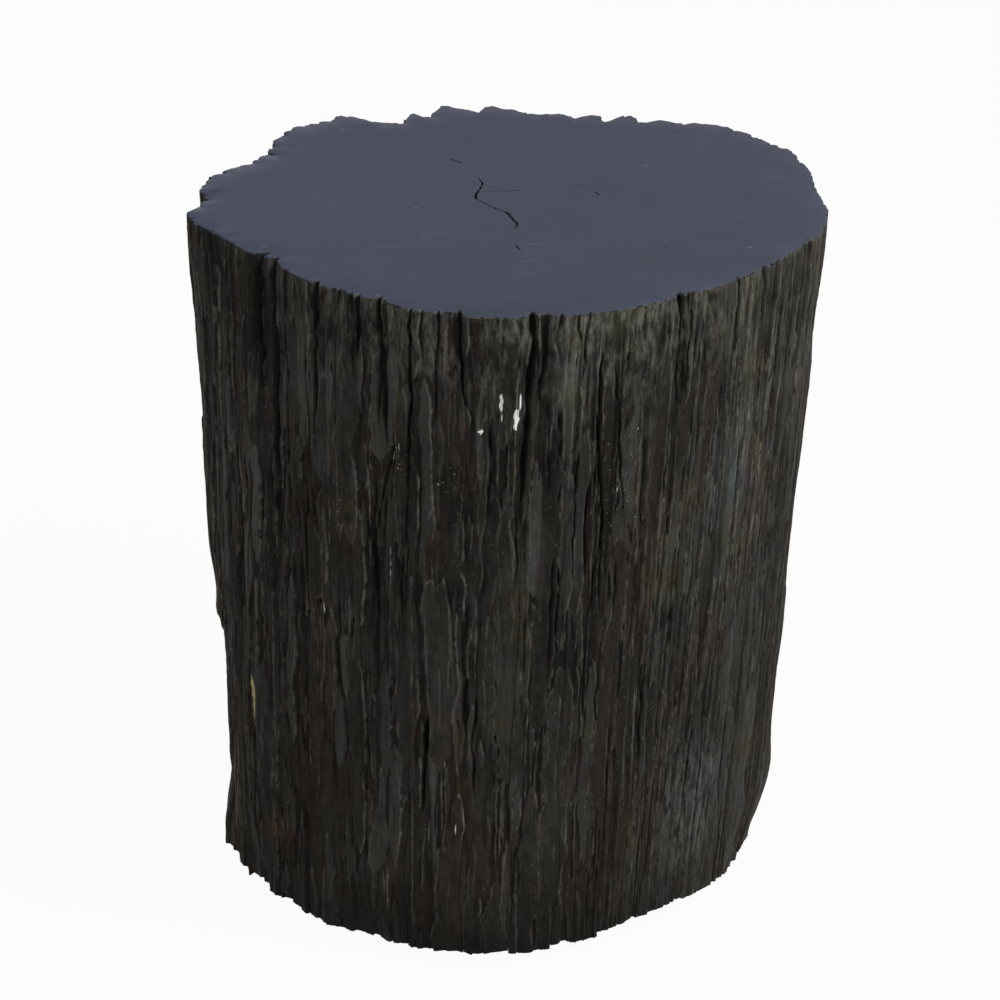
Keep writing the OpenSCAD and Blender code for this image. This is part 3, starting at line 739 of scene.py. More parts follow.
def build_plate(name, plate, bark, material_):
    """One plate of the rind, riven and flaked, in the place that the frame gives it."""
    p = bpy.context.scene.log_rind
    top, foot = plate.z[-1], plate.z[0]
    width = (plate.last[-1] - plate.first[-1]) * plate.outer[-1].mean()
    cols = max(8, int(width / (p.across / MM)))
    rows = int((top - foot) / (p.along / MM))
    t = np.linspace(0, 1, cols + 1)[None, :]
    v = np.linspace(0, 1, rows + 1)[:, None]
    level = foot + v[:, 0] * (top - foot)
    near = np.interp(level, plate.z, plate.first)[:, None]
    far = np.interp(level, plate.z, plate.last)[:, None]
    # The plates all but meet: the splits that show are carved into the rind
    close = p.close / MM / plate.outer.mean()
    angle = (near - close) * (1 - t) + (far + close) * t
    s = angle * DRUM
    low = foot + p.ragged / MM * bark.look(bark.foot, s[:1], np.zeros_like(s[:1]))
    z = low + (top - low) * v
    r = bark.look(bark.base, s, z) + bark.look(bark.height, s, z)
    r = np.maximum(r, plate.sample(plate.inner, np.broadcast_to(t, z.shape), z) + LEAST_RIND)
    n_in = plate.inner.shape[1]
    inner_t = np.linspace(0, 1, n_in)[None, :]
    inner_z = np.repeat(z[:, :1], n_in, 1)
    inner_r = plate.sample(plate.inner, np.broadcast_to(inner_t, inner_z.shape), inner_z)
    inner_a = near * (1 - inner_t) + far * inner_t
    # One closed ring of points at each height: the outer face, then the inner face back again
    ring_a = np.concatenate([angle, inner_a[:, ::-1]], 1)
    ring_r = np.concatenate([r, inner_r[:, ::-1]], 1)
    ring_z = np.concatenate([z, inner_z[:, ::-1]], 1)
    axis = log_axis(ring_z)
    points = np.stack([
        axis[..., 0] + ring_r * np.cos(ring_a), axis[..., 1] + ring_r * np.sin(ring_a), ring_z], -1)
    n = ring_a.shape[1]
    start = np.arange(rows)[:, None] * n
    k = np.arange(n)
    after = (k + 1) % n
    faces = np.stack([start + k, start + after, start + n + after, start + n + k], -1)
    faces = faces.reshape(-1, 4).tolist()
    faces += cap(cols, n_in, 0, False) + cap(cols, n_in, rows * n, True)
    obj = new_object(name.replace("rind", "riven"), (points.reshape(-1, 3) * MM).tolist(), faces, material_)
    inside = np.concatenate([np.zeros_like(z), np.ones_like(inner_z)], 1).ravel()

    def at(values):
        return bark.look(values, ring_a * DRUM, ring_z).ravel()

    # The fourth value is painted shade, full on the inner faces
    paint(obj, "char", at(bark.tone), at(bark.brown), at(bark.edge) * (1 - inside),
          np.maximum(at(bark.painted_shade), inside))
    paint(obj, "wear", at(bark.dust), at(bark.chip), at(bark.bare), at(bark.fine))
    paint(obj, "marks", at(bark.rust), at(bark.blue), at(bark.speck))
    dress(obj, "log", "charred_rind", name)
    return points[-1, : cols + 1, :2]


def cap(cols, inner, start, up):
    """Triangles between the outer and the inner points of one ring."""
    faces = []
    i, j = 0, 0
    out = range(start, start + cols + 1)
    back = range(start + cols + inner, start + cols, -1)
    while i < cols or j < inner - 1:
        if j >= inner - 1 or (i < cols and (i + 1) / cols <= (j + 1) / (inner - 1)):
            tri = [out[i], back[j], out[i + 1]]
            i += 1
        else:
            tri = [out[i], back[j], back[j + 1]]
            j += 1
        faces.append(tri[::-1] if up else tri)
    return faces


# Materials

def material(name, roughness, specular=0.5):
    """A new node material, and a short way to add and join its nodes."""
    mat = bpy.data.materials.new(name)
    mat.use_nodes = True
    nodes = Nodes(mat.node_tree)
    nodes.shader = mat.node_tree.nodes["Principled BSDF"]
    nodes.shader.inputs["Roughness"].default_value = roughness
    nodes.shader.inputs["Specular IOR Level"].default_value = specular
    return mat, nodes


class Nodes:
    """Adds nodes to a tree: inputs are values or other nodes' sockets."""

    def __init__(self, tree):
        self.tree = tree
        self.shader = None

    def add(self, kind, inputs=None, out=0, **settings):
        """Adds one node, and gives one of its outputs."""
        node = self.tree.nodes.new(kind)
        for key, value in settings.items():
            setattr(node, key, value)
        for key, value in (inputs or {}).items():
            self.feed(node.inputs[key], value)
        return node.outputs[out]

    def feed(self, socket, value):
        """Links a socket to an input, or sets it to a value."""
        if isinstance(value, bpy.types.NodeSocket):
            self.tree.links.new(value, socket)
        elif hasattr(value, "__len__") and len(value) == 3 and socket.type == "RGBA":
            socket.default_value = (*value, 1)
        else:
            socket.default_value = value

    def mix(self, factor, a, b, blend="MIX"):
        node = self.tree.nodes.new("ShaderNodeMix")
        node.data_type = "RGBA"
        node.blend_type = blend
        node.clamp_factor = True
        self.feed(node.inputs[0], factor)
        self.feed(node.inputs[6], a)
        self.feed(node.inputs[7], b)
        return node.outputs[2]

    def over(self, colour, layer, *masks):
        """Lays one colour over another where every mask lets it."""
        return self.mix(self.times(*masks), colour, layer)

    def math(self, operation, a, b=0.0, clamp=False):
        return self.add("ShaderNodeMath", {0: a, 1: b}, operation=operation, use_clamp=clamp)

    def plus(self, a, b, clamp=False):
        return self.math("ADD", a, b, clamp)

    def times(self, product, *values):
        for value in values:
            product = self.math("MULTIPLY", product, value)
        return product

    def span(self, value, low, high, to_low=0.0, to_high=1.0):
        """Spreads one range of a value over another, cut off at its ends."""
        return self.add("ShaderNodeMapRange", {
            "Value": value, "From Min": low, "From Max": high, "To Min": to_low, "To Max": to_high,
        }, clamp=True)

    def noise(self, vector, scale, detail, roughness=0.5):
        return self.add("ShaderNodeTexNoise", {
            "Vector": vector, "Scale": scale, "Detail": detail, "Roughness": roughness})

    def stretch(self, vector, by):
        return self.add("ShaderNodeVectorMath", {0: vector, 1: by}, operation="MULTIPLY")

    def attribute(self, name):
        """The four values that paint() stored under a name."""
        node = self.tree.nodes.new("ShaderNodeAttribute")
        node.attribute_name = name
        split = self.tree.nodes.new("ShaderNodeSeparateColor")
        self.tree.links.new(node.outputs["Color"], split.inputs[0])
        return split.outputs[0], split.outputs[1], split.outputs[2], node.outputs["Alpha"]

    def place(self):
        return self.add("ShaderNodeTexCoord", out="Object")

    def axes(self, vector):
        return self.add("ShaderNodeSeparateXYZ", {0: vector}).node.outputs

    def group(self, tree, **inputs):
        """Places a node group with its own values, and gives its outputs in order."""
        node = self.tree.nodes.new("ShaderNodeGroup")
        node.node_tree = tree
        for key, value in inputs.items():
            self.feed(node.inputs[key], value)
        return list(node.outputs)

    def seen_directly(self):
        """1 for what the camera sees, also in a reflection or through glass."""
        path = self.tree.nodes.new("ShaderNodeLightPath").outputs
        seen = self.math("MAXIMUM", path["Is Camera Ray"], path["Is Glossy Ray"])
        return self.math("MAXIMUM", seen, path["Is Transmission Ray"])

    def finish(self, colour, roughness, bump, strength, distance):
        """Joins the looks to the shader, which keeps its even roughness where none is given."""
        self.feed(self.shader.inputs["Base Color"], colour)
        if roughness is not None:
            self.feed(self.shader.inputs["Roughness"], roughness)
        normal = self.add("ShaderNodeBump", {"Strength": strength, "Distance": distance, "Height": bump})
        self.feed(self.shader.inputs["Normal"], normal)


def new_group(name, inputs, outputs):
    """A node group of values: its inputs with their defaults, and its outputs."""
    tree = bpy.data.node_groups.new(name, "ShaderNodeTree")
    for label, default in inputs.items():
        socket = tree.interface.new_socket(label, in_out="INPUT", socket_type="NodeSocketFloat")
        socket.default_value = default
    for label in outputs:
        tree.interface.new_socket(label, in_out="OUTPUT", socket_type="NodeSocketFloat")
    entry = tree.nodes.new("NodeGroupInput")
    leave = tree.nodes.new("NodeGroupOutput")
    return tree, Nodes(tree), entry.outputs, leave.inputs


def fibre_group():
    """Fibres that run up the log: broad and fine streaks, crumbs and short pale flecks."""
    tree = bpy.data.node_groups.get("Log Fibre")
    if tree:
        return tree
    tree, n, entry, leave = new_group(
        "Log Fibre", {"Width": 0.002, "Length": 0.05}, ("Streak", "Fine", "Crumb", "Fleck"))
    across = n.math("DIVIDE", 1.0, entry["Width"])
    along = n.math("DIVIDE", 1.0, entry["Length"])
    place = n.place()
    strand = n.stretch(place, n.add("ShaderNodeCombineXYZ", {0: across, 1: across, 2: along}))
    squat = n.add("ShaderNodeCombineXYZ", {0: across, 1: across, 2: n.times(across, 0.3)})
    lump = n.stretch(place, squat)
    n.feed(leave["Streak"], n.noise(strand, 1.0, 3.0, 0.55))
    n.feed(leave["Fine"], n.noise(strand, 3.3, 2.0, 0.6))
    n.feed(leave["Crumb"], n.noise(lump, 0.55, 5.0, 0.68))
    n.feed(leave["Fleck"], n.span(n.noise(lump, 1.4, 1.0), 0.72, 0.78))
    return tree


def dust_group():
    """Soft dust in patches, with a few pale specks and rounder, closer dots."""
    tree = bpy.data.node_groups.get("Settled Dust")
    if tree:
        return tree
    tree, n, entry, leave = new_group(
        "Settled Dust", {"Patch": 0.06, "Speck": 0.009}, ("Film", "Specks", "Dots"))
    place = n.place()
    specks = n.add("ShaderNodeTexVoronoi", {
        "Vector": place, "Scale": n.math("DIVIDE", 1.0, entry["Speck"]), "Randomness": 1.0})
    chance = n.noise(place, n.math("DIVIDE", 0.7, entry["Speck"]), 0.0)
    n.feed(leave["Film"], n.noise(place, n.math("DIVIDE", 1.0, entry["Patch"]), 5.0, 0.6))
    n.feed(leave["Specks"], n.times(n.span(specks, 0.05, 0.11, 1.0, 0.0), n.span(chance, 0.62, 0.66)))
    n.feed(leave["Dots"], n.times(n.span(specks, 0.13, 0.24, 1.0, 0.0), n.span(chance, 0.5, 0.56)))
    return tree


def rind_material():
    """Charred wood: painted shade in the hollows, ash-grey flakes, scorched brown wood and worn fibre edges
    with a painted highlight.
    """
    p = bpy.context.scene.log_rind
    mat, n = material("Charred Rind", 0.8, 0.16)
    tone, brown, edge, painted_shade = n.attribute("char")
    dust, chip, bare, fine = n.attribute("wear")
    rust, blue, speck, _ = n.attribute("marks")
    streak, thread, crumb, fleck = n.group(fibre_group(), Width=0.0018, Length=0.026)
    film, specks, _ = n.group(dust_group(), Patch=0.022, Speck=0.0042)
    _, _, dots = n.group(dust_group(), Patch=0.02, Speck=0.0028)
    broad = n.span(streak, 0.3, 0.7)
    grit = n.span(crumb, 0.32, 0.68)
    vary = n.math("SUBTRACT", n.plus(broad, grit), 1.0)
    vary = n.times(vary, n.span(fine, 0.0, 1.0, 0.34, 0.13))
    grey = n.plus(n.plus(tone, -0.02), vary, clamp=True)
    flake = n.mix(n.span(film, 0.42, 0.6), p.ash, p.olive)
    colour = n.mix(grey, p.soot, flake)
    umber = n.mix(grit, tuple(c * 0.4 for c in p.umber), p.umber)
    colour = n.over(colour, umber, brown, n.span(thread, 0.3, 0.62, 0.2, 0.7))
    colour = n.over(colour, srgb(72, 45, 31), rust, n.span(grit, 0.3, 0.8, 0.0, 0.7))
    colour = n.over(colour, srgb(76, 79, 82), blue, n.span(grit, 0.2, 0.8, 0.05, 0.75))
    # Pale edges of the flakes: wear and a painted highlight
    colour = n.over(colour, p.ridge_and_highlight, edge, n.span(crumb, 0.38, 0.54))
    colour = n.over(colour, p.dust, dust, n.span(crumb, 0.4, 0.64), 0.7)
    colour = n.over(colour, p.ridge_and_highlight, fleck, 0.35)
    pale = srgb(190, 186, 172)
    colour = n.over(colour, pale, specks, 0.2)
    colour = n.over(colour, pale, dots, speck)
    # Painted shade: near black in the hollows, along the foot and on the inner faces
    colour = n.over(colour, srgb(8, 8, 7), n.span(painted_shade, 0.0, 1.0, 0.0, 0.95))
    colour = n.over(colour, n.mix(grit, srgb(150, 134, 90), srgb(240, 226, 176)), bare)
    colour = n.over(colour, srgb(232, 232, 226), n.span(chip, 0.3, 0.7), n.span(thread, 0.32, 0.42))
    # The sawn foot, which faces down
    facing = n.axes(n.add("ShaderNodeNewGeometry", out="Normal"))[2]
    sawn = n.mix(broad, srgb(40, 33, 28), srgb(74, 60, 48))
    colour = n.over(colour, sawn, n.span(facing, -0.8, -0.6, 0.7, 0.0))
    height = n.plus(n.plus(n.times(streak, 0.8), n.times(thread, 0.4)), crumb)
    n.finish(colour, n.span(grey, 0.0, 1.0, 0.9, 0.66), height, 0.4, 0.0008)
    return mat


def heart_material():
    """The heart of the log: smoked end grain with growth rings and radial checks."""
    base = log_axis(0.0)
    mat, n = material("Smoked Heart", 0.82, 0.3)
    middle = (base[0] * MM, base[1] * MM, 0)
    pith = n.add("ShaderNodeVectorMath", {0: n.place(), 1: middle}, operation="SUBTRACT")
    flat = n.stretch(pith, (1, 1, 0.02))
    reach = n.add("ShaderNodeVectorMath", {0: flat}, out="Value", operation="LENGTH")
    wobble = n.times(n.noise(flat, 9.0, 3.0), 0.03)
    rings = n.math("SINE", n.times(n.plus(reach, wobble), 1450.0))
    film, _, _ = n.group(dust_group(), Patch=0.02, Speck=0.012)
    axes = n.axes(pith)
    turn = n.math("ARCTAN2", axes[1], axes[0])
    rays = n.add("ShaderNodeCombineXYZ", {0: n.times(turn, 34.0), 1: n.times(reach, 7.0), 2: 0.0})
    checks = n.span(n.noise(rays, 1.0, 2.0), 0.64, 0.72)
    colour = n.mix(n.span(rings, -1.0, 1.0), srgb(58, 46, 37), srgb(88, 71, 55))
    colour = n.over(colour, srgb(38, 33, 29), n.span(film, 0.35, 0.65, 0.0, 0.6))
    colour = n.over(colour, srgb(26, 24, 22), n.span(reach, 0.10, 0.16, 0.0, 0.75))
    colour = n.over(colour, srgb(14, 13, 12), checks)
    n.finish(colour, None, n.math("SUBTRACT", n.times(rings, 0.3), checks), 0.5, 0.0006)
    return mat


def coat_material():
    """The sealing coat: matte slate with faint clouds, fine scratches, a rubbed edge and burnt sides."""
    p = bpy.context.scene.log_coat
    r = bpy.context.scene.log_rind
    mat, n = material("Slate Coat", 0.8, 0.12)
    film, specks, _ = n.group(dust_group(), Patch=0.045, Speck=0.016)
    _, _, crumb, _ = n.group(fibre_group(), Width=0.0016, Length=0.034)
    rim, side, crust, _ = n.attribute("rim")
    place = n.place()
    axes = n.axes(place)
    drift = n.plus(axes[0], n.times(film, 0.3))
    colour = n.mix(n.span(drift, -0.02, 0.17), p.cool, p.slate)
    shade = n.times(n.span(film, 0.3, 0.7, 0.8, 1.2), n.span(axes[1], -0.19, 0.02, 0.88, 1.0))
    colour = n.mix(1.0, colour, shade, "MULTIPLY")
    mottle = n.noise(place, 240.0, 3.0, 0.7)
    colour = n.over(colour, tuple(c * 0.8 for c in p.slate), n.span(mottle, 0.36, 0.64, 0.0, 0.4))
    sanding = n.noise(n.stretch(place, (22.0, 260.0, 1.0)), 1.0, 1.0)
    colour = n.over(colour, p.worn, n.span(sanding, 0.68, 0.76), n.span(film, 0.5, 0.6), 0.6)
    colour = n.over(colour, srgb(150, 152, 158), specks, 0.4)
    colour = n.over(colour, p.worn, rim, n.span(crumb, 0.4, 0.62, 0.0, 0.4))
    burnt = n.mix(n.span(crumb, 0.35, 0.65), r.soot, r.ash)
    burnt = n.over(burnt, r.dust, crust, n.span(crumb, 0.42, 0.56, 0.0, 0.4))
    colour = n.over(colour, burnt, side)
    grain = n.noise(place, 900.0, 2.0)
    n.finish(colour, n.span(film, 0.3, 0.7, 0.72, 0.86), grain, 0.12, 0.0003)
    return mat


def metal_material(name, colour, roughness):
    """Turned metal with fine tool marks and a little grime."""
    mat, n = material(name, roughness)
    n.shader.inputs["Metallic"].default_value = 1.0
    film, _, _ = n.group(dust_group(), Patch=0.008, Speck=0.004)
    marks = n.noise(n.stretch(n.place(), (60.0, 60.0, 9000.0)), 1.0, 2.0)
    tone = n.over(colour, tuple(c * 0.55 for c in colour), n.span(film, 0.4, 0.7, 0.0, 0.6))
    n.finish(tone, n.span(marks, 0.3, 0.7, roughness - 0.08, roughness + 0.14), marks, 0.15, 0.0001)
    return mat


def nylon_material():
    """Moulded nylon: dark, finely pebbled and scuffed paler in places."""
    p = bpy.context.scene.log_glide
    mat, n = material("Moulded Nylon", 0.5, 0.45)
    film, _, _ = n.group(dust_group(), Patch=0.01, Speck=0.006)
    pebble = n.noise(n.place(), 2600.0, 2.0)
    colour = n.over(p.nylon, srgb(70, 69, 67), n.span(film, 0.5, 0.7, 0.0, 0.5))
    n.finish(colour, n.span(film, 0.3, 0.7, 0.42, 0.62), pebble, 0.2, 0.0002)
    return mat


# Pieces

# The upper edges of the plates, in order round the log, which the sealed top follows
RIM_LINES = []


def lathe(profile, sides):
    """Points and faces of a turned piece from a closed profile of radius and height, in mm."""
    n = len(profile)
    points = []
    for k in range(sides):
        a = 2 * math.pi * k / sides
        points += [(r * math.cos(a), r * math.sin(a), z) for r, z in profile]
    faces = []
    for k in range(sides):
        for j in range(n):
            a, b = k * n + j, k * n + (j + 1) % n
            c, d = ((k + 1) % sides) * n + (j + 1) % n, ((k + 1) % sides) * n + j
            faces.append([a, d, c, b])
    return points, faces


def rounded(profile, radius, steps=4):
    """A closed profile with its corners rounded."""
    out = []
    n = len(profile)
    for i in range(n):
        a, b, c = (Vector(profile[(i + k) % n]) for k in (-1, 0, 1))
        cut = min(radius, (a - b).length * 0.45, (c - b).length * 0.45)
        p, q = b + (a - b).normalized() * cut, b + (c - b).normalized() * cut
        for k in range(steps + 1):
            t = k / steps
            out.append(tuple(p * (1 - t) ** 2 + b * 2 * t * (1 - t) + q * t ** 2))
    return out


def build_coat(material_, rims):
    """The sealing coat: it follows the tops of the plates and is open at the fissures."""
    p = bpy.context.scene.log_coat
    low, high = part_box("top_coat")
    base, top = low[2] / MM, high[2] / MM
    outline = np.concatenate(rims)
    n = len(outline)
    # A steady outward direction, from a softened outline
    span = 5
    loop = np.concatenate([outline[-span:], outline, outline[:span]])
    tangent = loop[2 * span:] - loop[: n]
    normal = np.stack([tangent[:, 1], -tangent[:, 0]], 1)
    normal /= np.linalg.norm(normal, axis=1)[:, None] + 1e-9
    bevel = p.bevel / MM
    steps = [(0.0, base), (0.0, top - bevel), (0.3 * bevel, top - 0.3 * bevel), (bevel, top)]
    rings = [outline - normal * inset for inset, _ in steps]
    cracks = [crack_outline(points, width, k) for k, (points, width) in enumerate(COAT_CRACKS)]
    flat = [Vector(q) for q in rings[-1]]
    loops = [list(range(n))]
    for crack in cracks:
        loops.append(list(range(len(flat), len(flat) + len(crack))))
        flat += [Vector(q) for q in crack]
    # Points spread over the top keep its triangles even: their spacing and clearances in mm
    spacing, from_rim, from_crack = 11.0, 14, 5
    rng = np.random.default_rng(5)
    middle = outline.mean(0)
    reach = np.linalg.norm(outline - middle, axis=1)
    turn = np.arctan2(outline[:, 1] - middle[1], outline[:, 0] - middle[0])
    order = np.argsort(turn)
    for x in np.arange(-190, 191, spacing):
        for y in np.arange(-195, 196, spacing):
            q = np.array([x, y]) + rng.uniform(-2.5, 2.5, 2)
            d = q - middle
            edge = np.interp(math.atan2(d[1], d[0]), turn[order], reach[order], period=2 * math.pi)
            clear = all(np.linalg.norm(q - c, axis=1).min() > from_crack for c in cracks)
            if clear and np.linalg.norm(d) < edge - from_rim:
                flat.append(Vector(q))
    edges = [(loop[i], loop[(i + 1) % len(loop)]) for loop in loops for i in range(len(loop))]
    verts, _, tris, origin, _, _ = delaunay_2d_cdt(flat, edges, [], 0, 1e-4)
    inside = keep_inside(verts, tris, rings[-1], cracks)
    points = [(v.x, v.y, top) for v in verts]
    faces = [list(t) for t in inside]
    source = {q: i for i, names in enumerate(origin) for q in names}
    count = len(points)
    # The same triangles below, and walls round the rim and the cracks
    points += [(v.x, v.y, base) for v in verts]
    faces += [[a + count for a in reversed(t)] for t in inside]
    start = len(points)
    for ring, (_, z) in zip(rings[1:-1], steps[1:-1]):
        points += [(q[0], q[1], z) for q in ring]
    lower = len(points)
    points += [(q[0], q[1], base) for q in rings[0]]
    belts = [[lower + i for i in range(n)]]
    belts += [[start + k * n + i for i in range(n)] for k in range(len(steps) - 2)]
    belts.append([source[i] for i in range(n)])
    under = [source[i] + count for i in range(n)]
    for a, b in [*zip(belts, belts[1:]), (under, belts[0])]:
        faces += [[a[i], a[(i + 1) % n], b[(i + 1) % n], b[i]] for i in range(n)]
    for loop in loops[1:]:
        for i in range(len(loop)):
            a, b = source[loop[i]], source[loop[(i + 1) % len(loop)]]
            faces.append([a, b, b + count, a + count])
    obj = new_object("sealed_top", [(x * MM, y * MM, z * MM) for x, y, z in points], faces, material_, 40)
    rim = np.zeros(len(obj.data.vertices))
    side = np.zeros(len(obj.data.vertices))
    rim[belts[-1]] = 0.5
    rim[start: lower] = 1.0
    side[count: 2 * count] = 1.0
    side[start: start + n] = 1.0
    side[lower:] = 1.0
    facing = [math.cos(math.atan2(q[1], q[0]) - math.radians(DUSTY_RIM)) for q in points]
    paint(obj, "rim", rim, side, smooth(0.25 + 1.2 * np.array(facing)))
    dress(obj, "log", "slate_coat", "top_coat")


def crack_outline(route, width, seed):
    """A thin, uneven slit along a route, pointed at both ends."""
    rng = np.random.default_rng(40 + seed)
    route = np.array(route, float)
    length = np.concatenate([[0], np.cumsum(np.linalg.norm(np.diff(route, axis=0), axis=1))])
    steps = max(6, int(length[-1] / 2.2))
    at = np.linspace(0, length[-1], steps + 1)
    line = np.stack([np.interp(at, length, route[:, k]) for k in (0, 1)], 1)
    line[1:-1] += rng.uniform(-0.6, 0.6, (steps - 1, 2))
    way = np.gradient(line, axis=0)
    way /= np.linalg.norm(way, axis=1)[:, None]
    half = width / 2 * np.sqrt(np.sin(np.pi * at / length[-1])) * rng.uniform(0.35, 1.1, steps + 1)
    across = np.stack([-way[:, 1], way[:, 0]], 1) * half[:, None]
    left, right = line + across, line - across
    return np.concatenate([[line[0]], right[1:-1], [line[-1]], left[-2:0:-1]])


def keep_inside(verts, tris, outline, holes):
    """The triangles whose middle lies inside the outline and outside every hole."""
    spots = np.array([(v.x, v.y) for v in verts])
    tris = np.array([t[:3] for t in tris])
    mid = spots[tris].mean(1)
    keep = within(mid, np.asarray(outline))
    for hole in holes:
        keep &= ~within(mid, np.asarray(hole))
    area = np.cross(spots[tris[:, 1]] - spots[tris[:, 0]], spots[tris[:, 2]] - spots[tris[:, 0]])
    tris = np.where(area[:, None] < 0, tris[:, ::-1], tris)
    return tris[keep].tolist()


def within(points, polygon):
    """Whether each point lies inside a closed polygon."""
    inside = np.zeros(len(points), bool)
    x, y = points[:, 0], points[:, 1]
    for (x0, y0), (x1, y1) in zip(polygon, np.roll(polygon, -1, 0)):
        if y0 == y1:
            continue
        cross = (y0 > y) != (y1 > y)
        inside ^= cross & (x < (x1 - x0) * (y - y0) / (y1 - y0) + x0)
    return inside


def glide_middle(g):
    """The middle of a glide, in metres."""
    low, high = PADS[g - 1]
    return (low[0] + high[0]) / 2, (low[1] + high[1]) / 2


def build_screw(g, material_):
    """The levelling screw: captured foot, neck, stop collar and a real helical thread."""
    x, y = glide_middle(g)
    low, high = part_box(f"glide_stem_{g}")
    z0, z1 = low[2] / MM, high[2] / MM
    pitch = bpy.context.scene.log_glide.pitch / MM
    sides = 48
    turn = [2 * math.pi * k / sides for k in range(sides)]
    # Sizes in mm: half the width and the depth of the key socket, and the top of the collar
    key, key_depth, collar = 2.5, 3.8, 11.1
    hexagon = [key / math.cos((a + math.pi / 6) % (math.pi / 3) - math.pi / 6) for a in turn]
    rings = [[(r, z) for r in hexagon] for z in (z0 + key_depth, z0)]
    # Below the thread: the foot, the neck and the collar
    lower = [(6.1, z0), (6.5, z0 + 0.4), (6.5, z0 + 2.0), (6.1, z0 + 2.4), (5.0, z0 + 2.4), (5.0, 8.1),
             (8.6, 8.1), (9.0, 8.5), (9.0, collar - 0.4), (8.6, collar), (4.2, collar),
             (3.45, collar + 0.5)]
    rings += [[place] * sides for place in lower]
    # The thread: each ring is lifted with the turn, with a flat root and crest
    turns = (z1 - 1.0 - collar - 0.5) / pitch
    root, tooth_height = 3.35, 0.63
    for z in np.linspace(collar + 0.6, z1 - 0.9, int(turns * 8)):
        fade = max(0, min(1.0, (z - collar - 0.4) / 1.0, (z1 - z) / 1.2))
        ring = []
        for k in range(sides):
            phase = ((z - collar) / pitch - k / sides) % 1.0
            tooth = unit(1.6 - abs(phase - 0.5) * 5.2 + 0.5)
            ring.append((root + tooth_height * tooth * fade, z))
        rings.append(ring)
    rings += [[(3.2, z1 - 0.5)] * sides, [(2.6, z1)] * sides]
    points = [(x + r * MM * math.cos(a), y + r * MM * math.sin(a), z * MM)
              for ring in rings for a, (r, z) in zip(turn, ring)]
    faces = []
    for start in range(0, len(points) - sides, sides):
        for k in range(sides):
            a, b = start + k, start + (k + 1) % sides
            faces.append([a, b, b + sides, a + sides])
    faces.append(list(range(sides))[::-1])
    faces.append(list(range(len(points) - sides, len(points))))
    obj = new_object(f"levelling_screw_{g}", points, faces, material_, 35)
    dress(obj, f"glide_{g}_screw", "stem_steel", f"glide_stem_{g}")


def build_pad(g, material_):
    """The nylon pad: rounded, with a key hole and a pocket that holds the screw's foot."""
    x, y = glide_middle(g)
    profile = [(3.5, 0), (17.2, 0), (18, 1.2), (18, 4), (8.5, 8), (5.05, 8), (5.05, 4.6), (6.55, 4.6),
               (6.55, 2), (3.5, 2)]
    edge_radius, sides = 0.6, 72
    points, faces = lathe(rounded(profile, edge_radius), sides)
    placed = [(x + a * MM, y + b * MM, c * MM) for a, b, c in points]
    obj = new_object(f"glide_foot_{g}", placed, faces, material_, 40)
    dress(obj, f"glide_{g}_foot", "pad_nylon", f"glide_pad_{g}")


def assign(node, mat):
    """Gives a node of the frame its material, and leaves its mesh as it is."""
    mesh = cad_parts[node].data
    mesh.materials.clear()
    mesh.materials.append(mat)


class LOG_OT_heart(bpy.types.Operator):
    """Gives the heart of the log its smoked end grain"""
    bl_idname = "log_stool.heart"
    bl_label = "Heart"

    def execute(self, context):
        assign("heart_core", heart_material())
        return {"FINISHED"}


class LOG_OT_rind(bpy.types.Operator):
    """Builds the charred plates of the rind"""
    bl_idname = "log_stool.rind"
    bl_label = "Rind Plates"

    def execute(self, context):
        names = sorted(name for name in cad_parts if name.startswith("rind_plate"))
        plates = [Plate(name) for name in names]
        bark = Bark(context.scene.log_rind, plates)
        mat = rind_material()
        RIM_LINES.clear()
        for name, plate in zip(names, plates):
            RIM_LINES.append(build_plate(name, plate, bark, mat))
        return {"FINISHED"}


class LOG_OT_coat(bpy.types.Operator):
    """Builds the sealed top over the rim of the plates"""
    bl_idname = "log_stool.coat"
    bl_label = "Sealed Top"

    def execute(self, context):
        if not RIM_LINES:
            raise RuntimeError("The rind plates come first: the top follows their rim")
        build_coat(coat_material(), RIM_LINES)
        return {"FINISHED"}


class LOG_OT_inserts(bpy.types.Operator):
    """Gives the threaded inserts their brass"""
    bl_idname = "log_stool.inserts"
    bl_label = "Threaded Inserts"

    def execute(self, context):
        brass = metal_material("Machined Brass", tuple(context.scene.log_glide.brass), 0.34)
        for g in GLIDES:
            assign(f"glide_insert_{g}", brass)
        return {"FINISHED"}


class LOG_OT_screws(bpy.types.Operator):
    """Builds the levelling screws"""
    bl_idname = "log_stool.screws"
    bl_label = "Levelling Screws"

    def execute(self, context):
        zinc = metal_material("Zinc Plate", tuple(context.scene.log_glide.zinc), 0.38)
        for g in GLIDES:
            build_screw(g, zinc)
        return {"FINISHED"}


class LOG_OT_pads(bpy.types.Operator):
    """Builds the nylon pads"""
    bl_idname = "log_stool.pads"
    bl_label = "Pads"

    def execute(self, context):
        nylon = nylon_material()
        for g in GLIDES:
            build_pad(g, nylon)
        return {"FINISHED"}


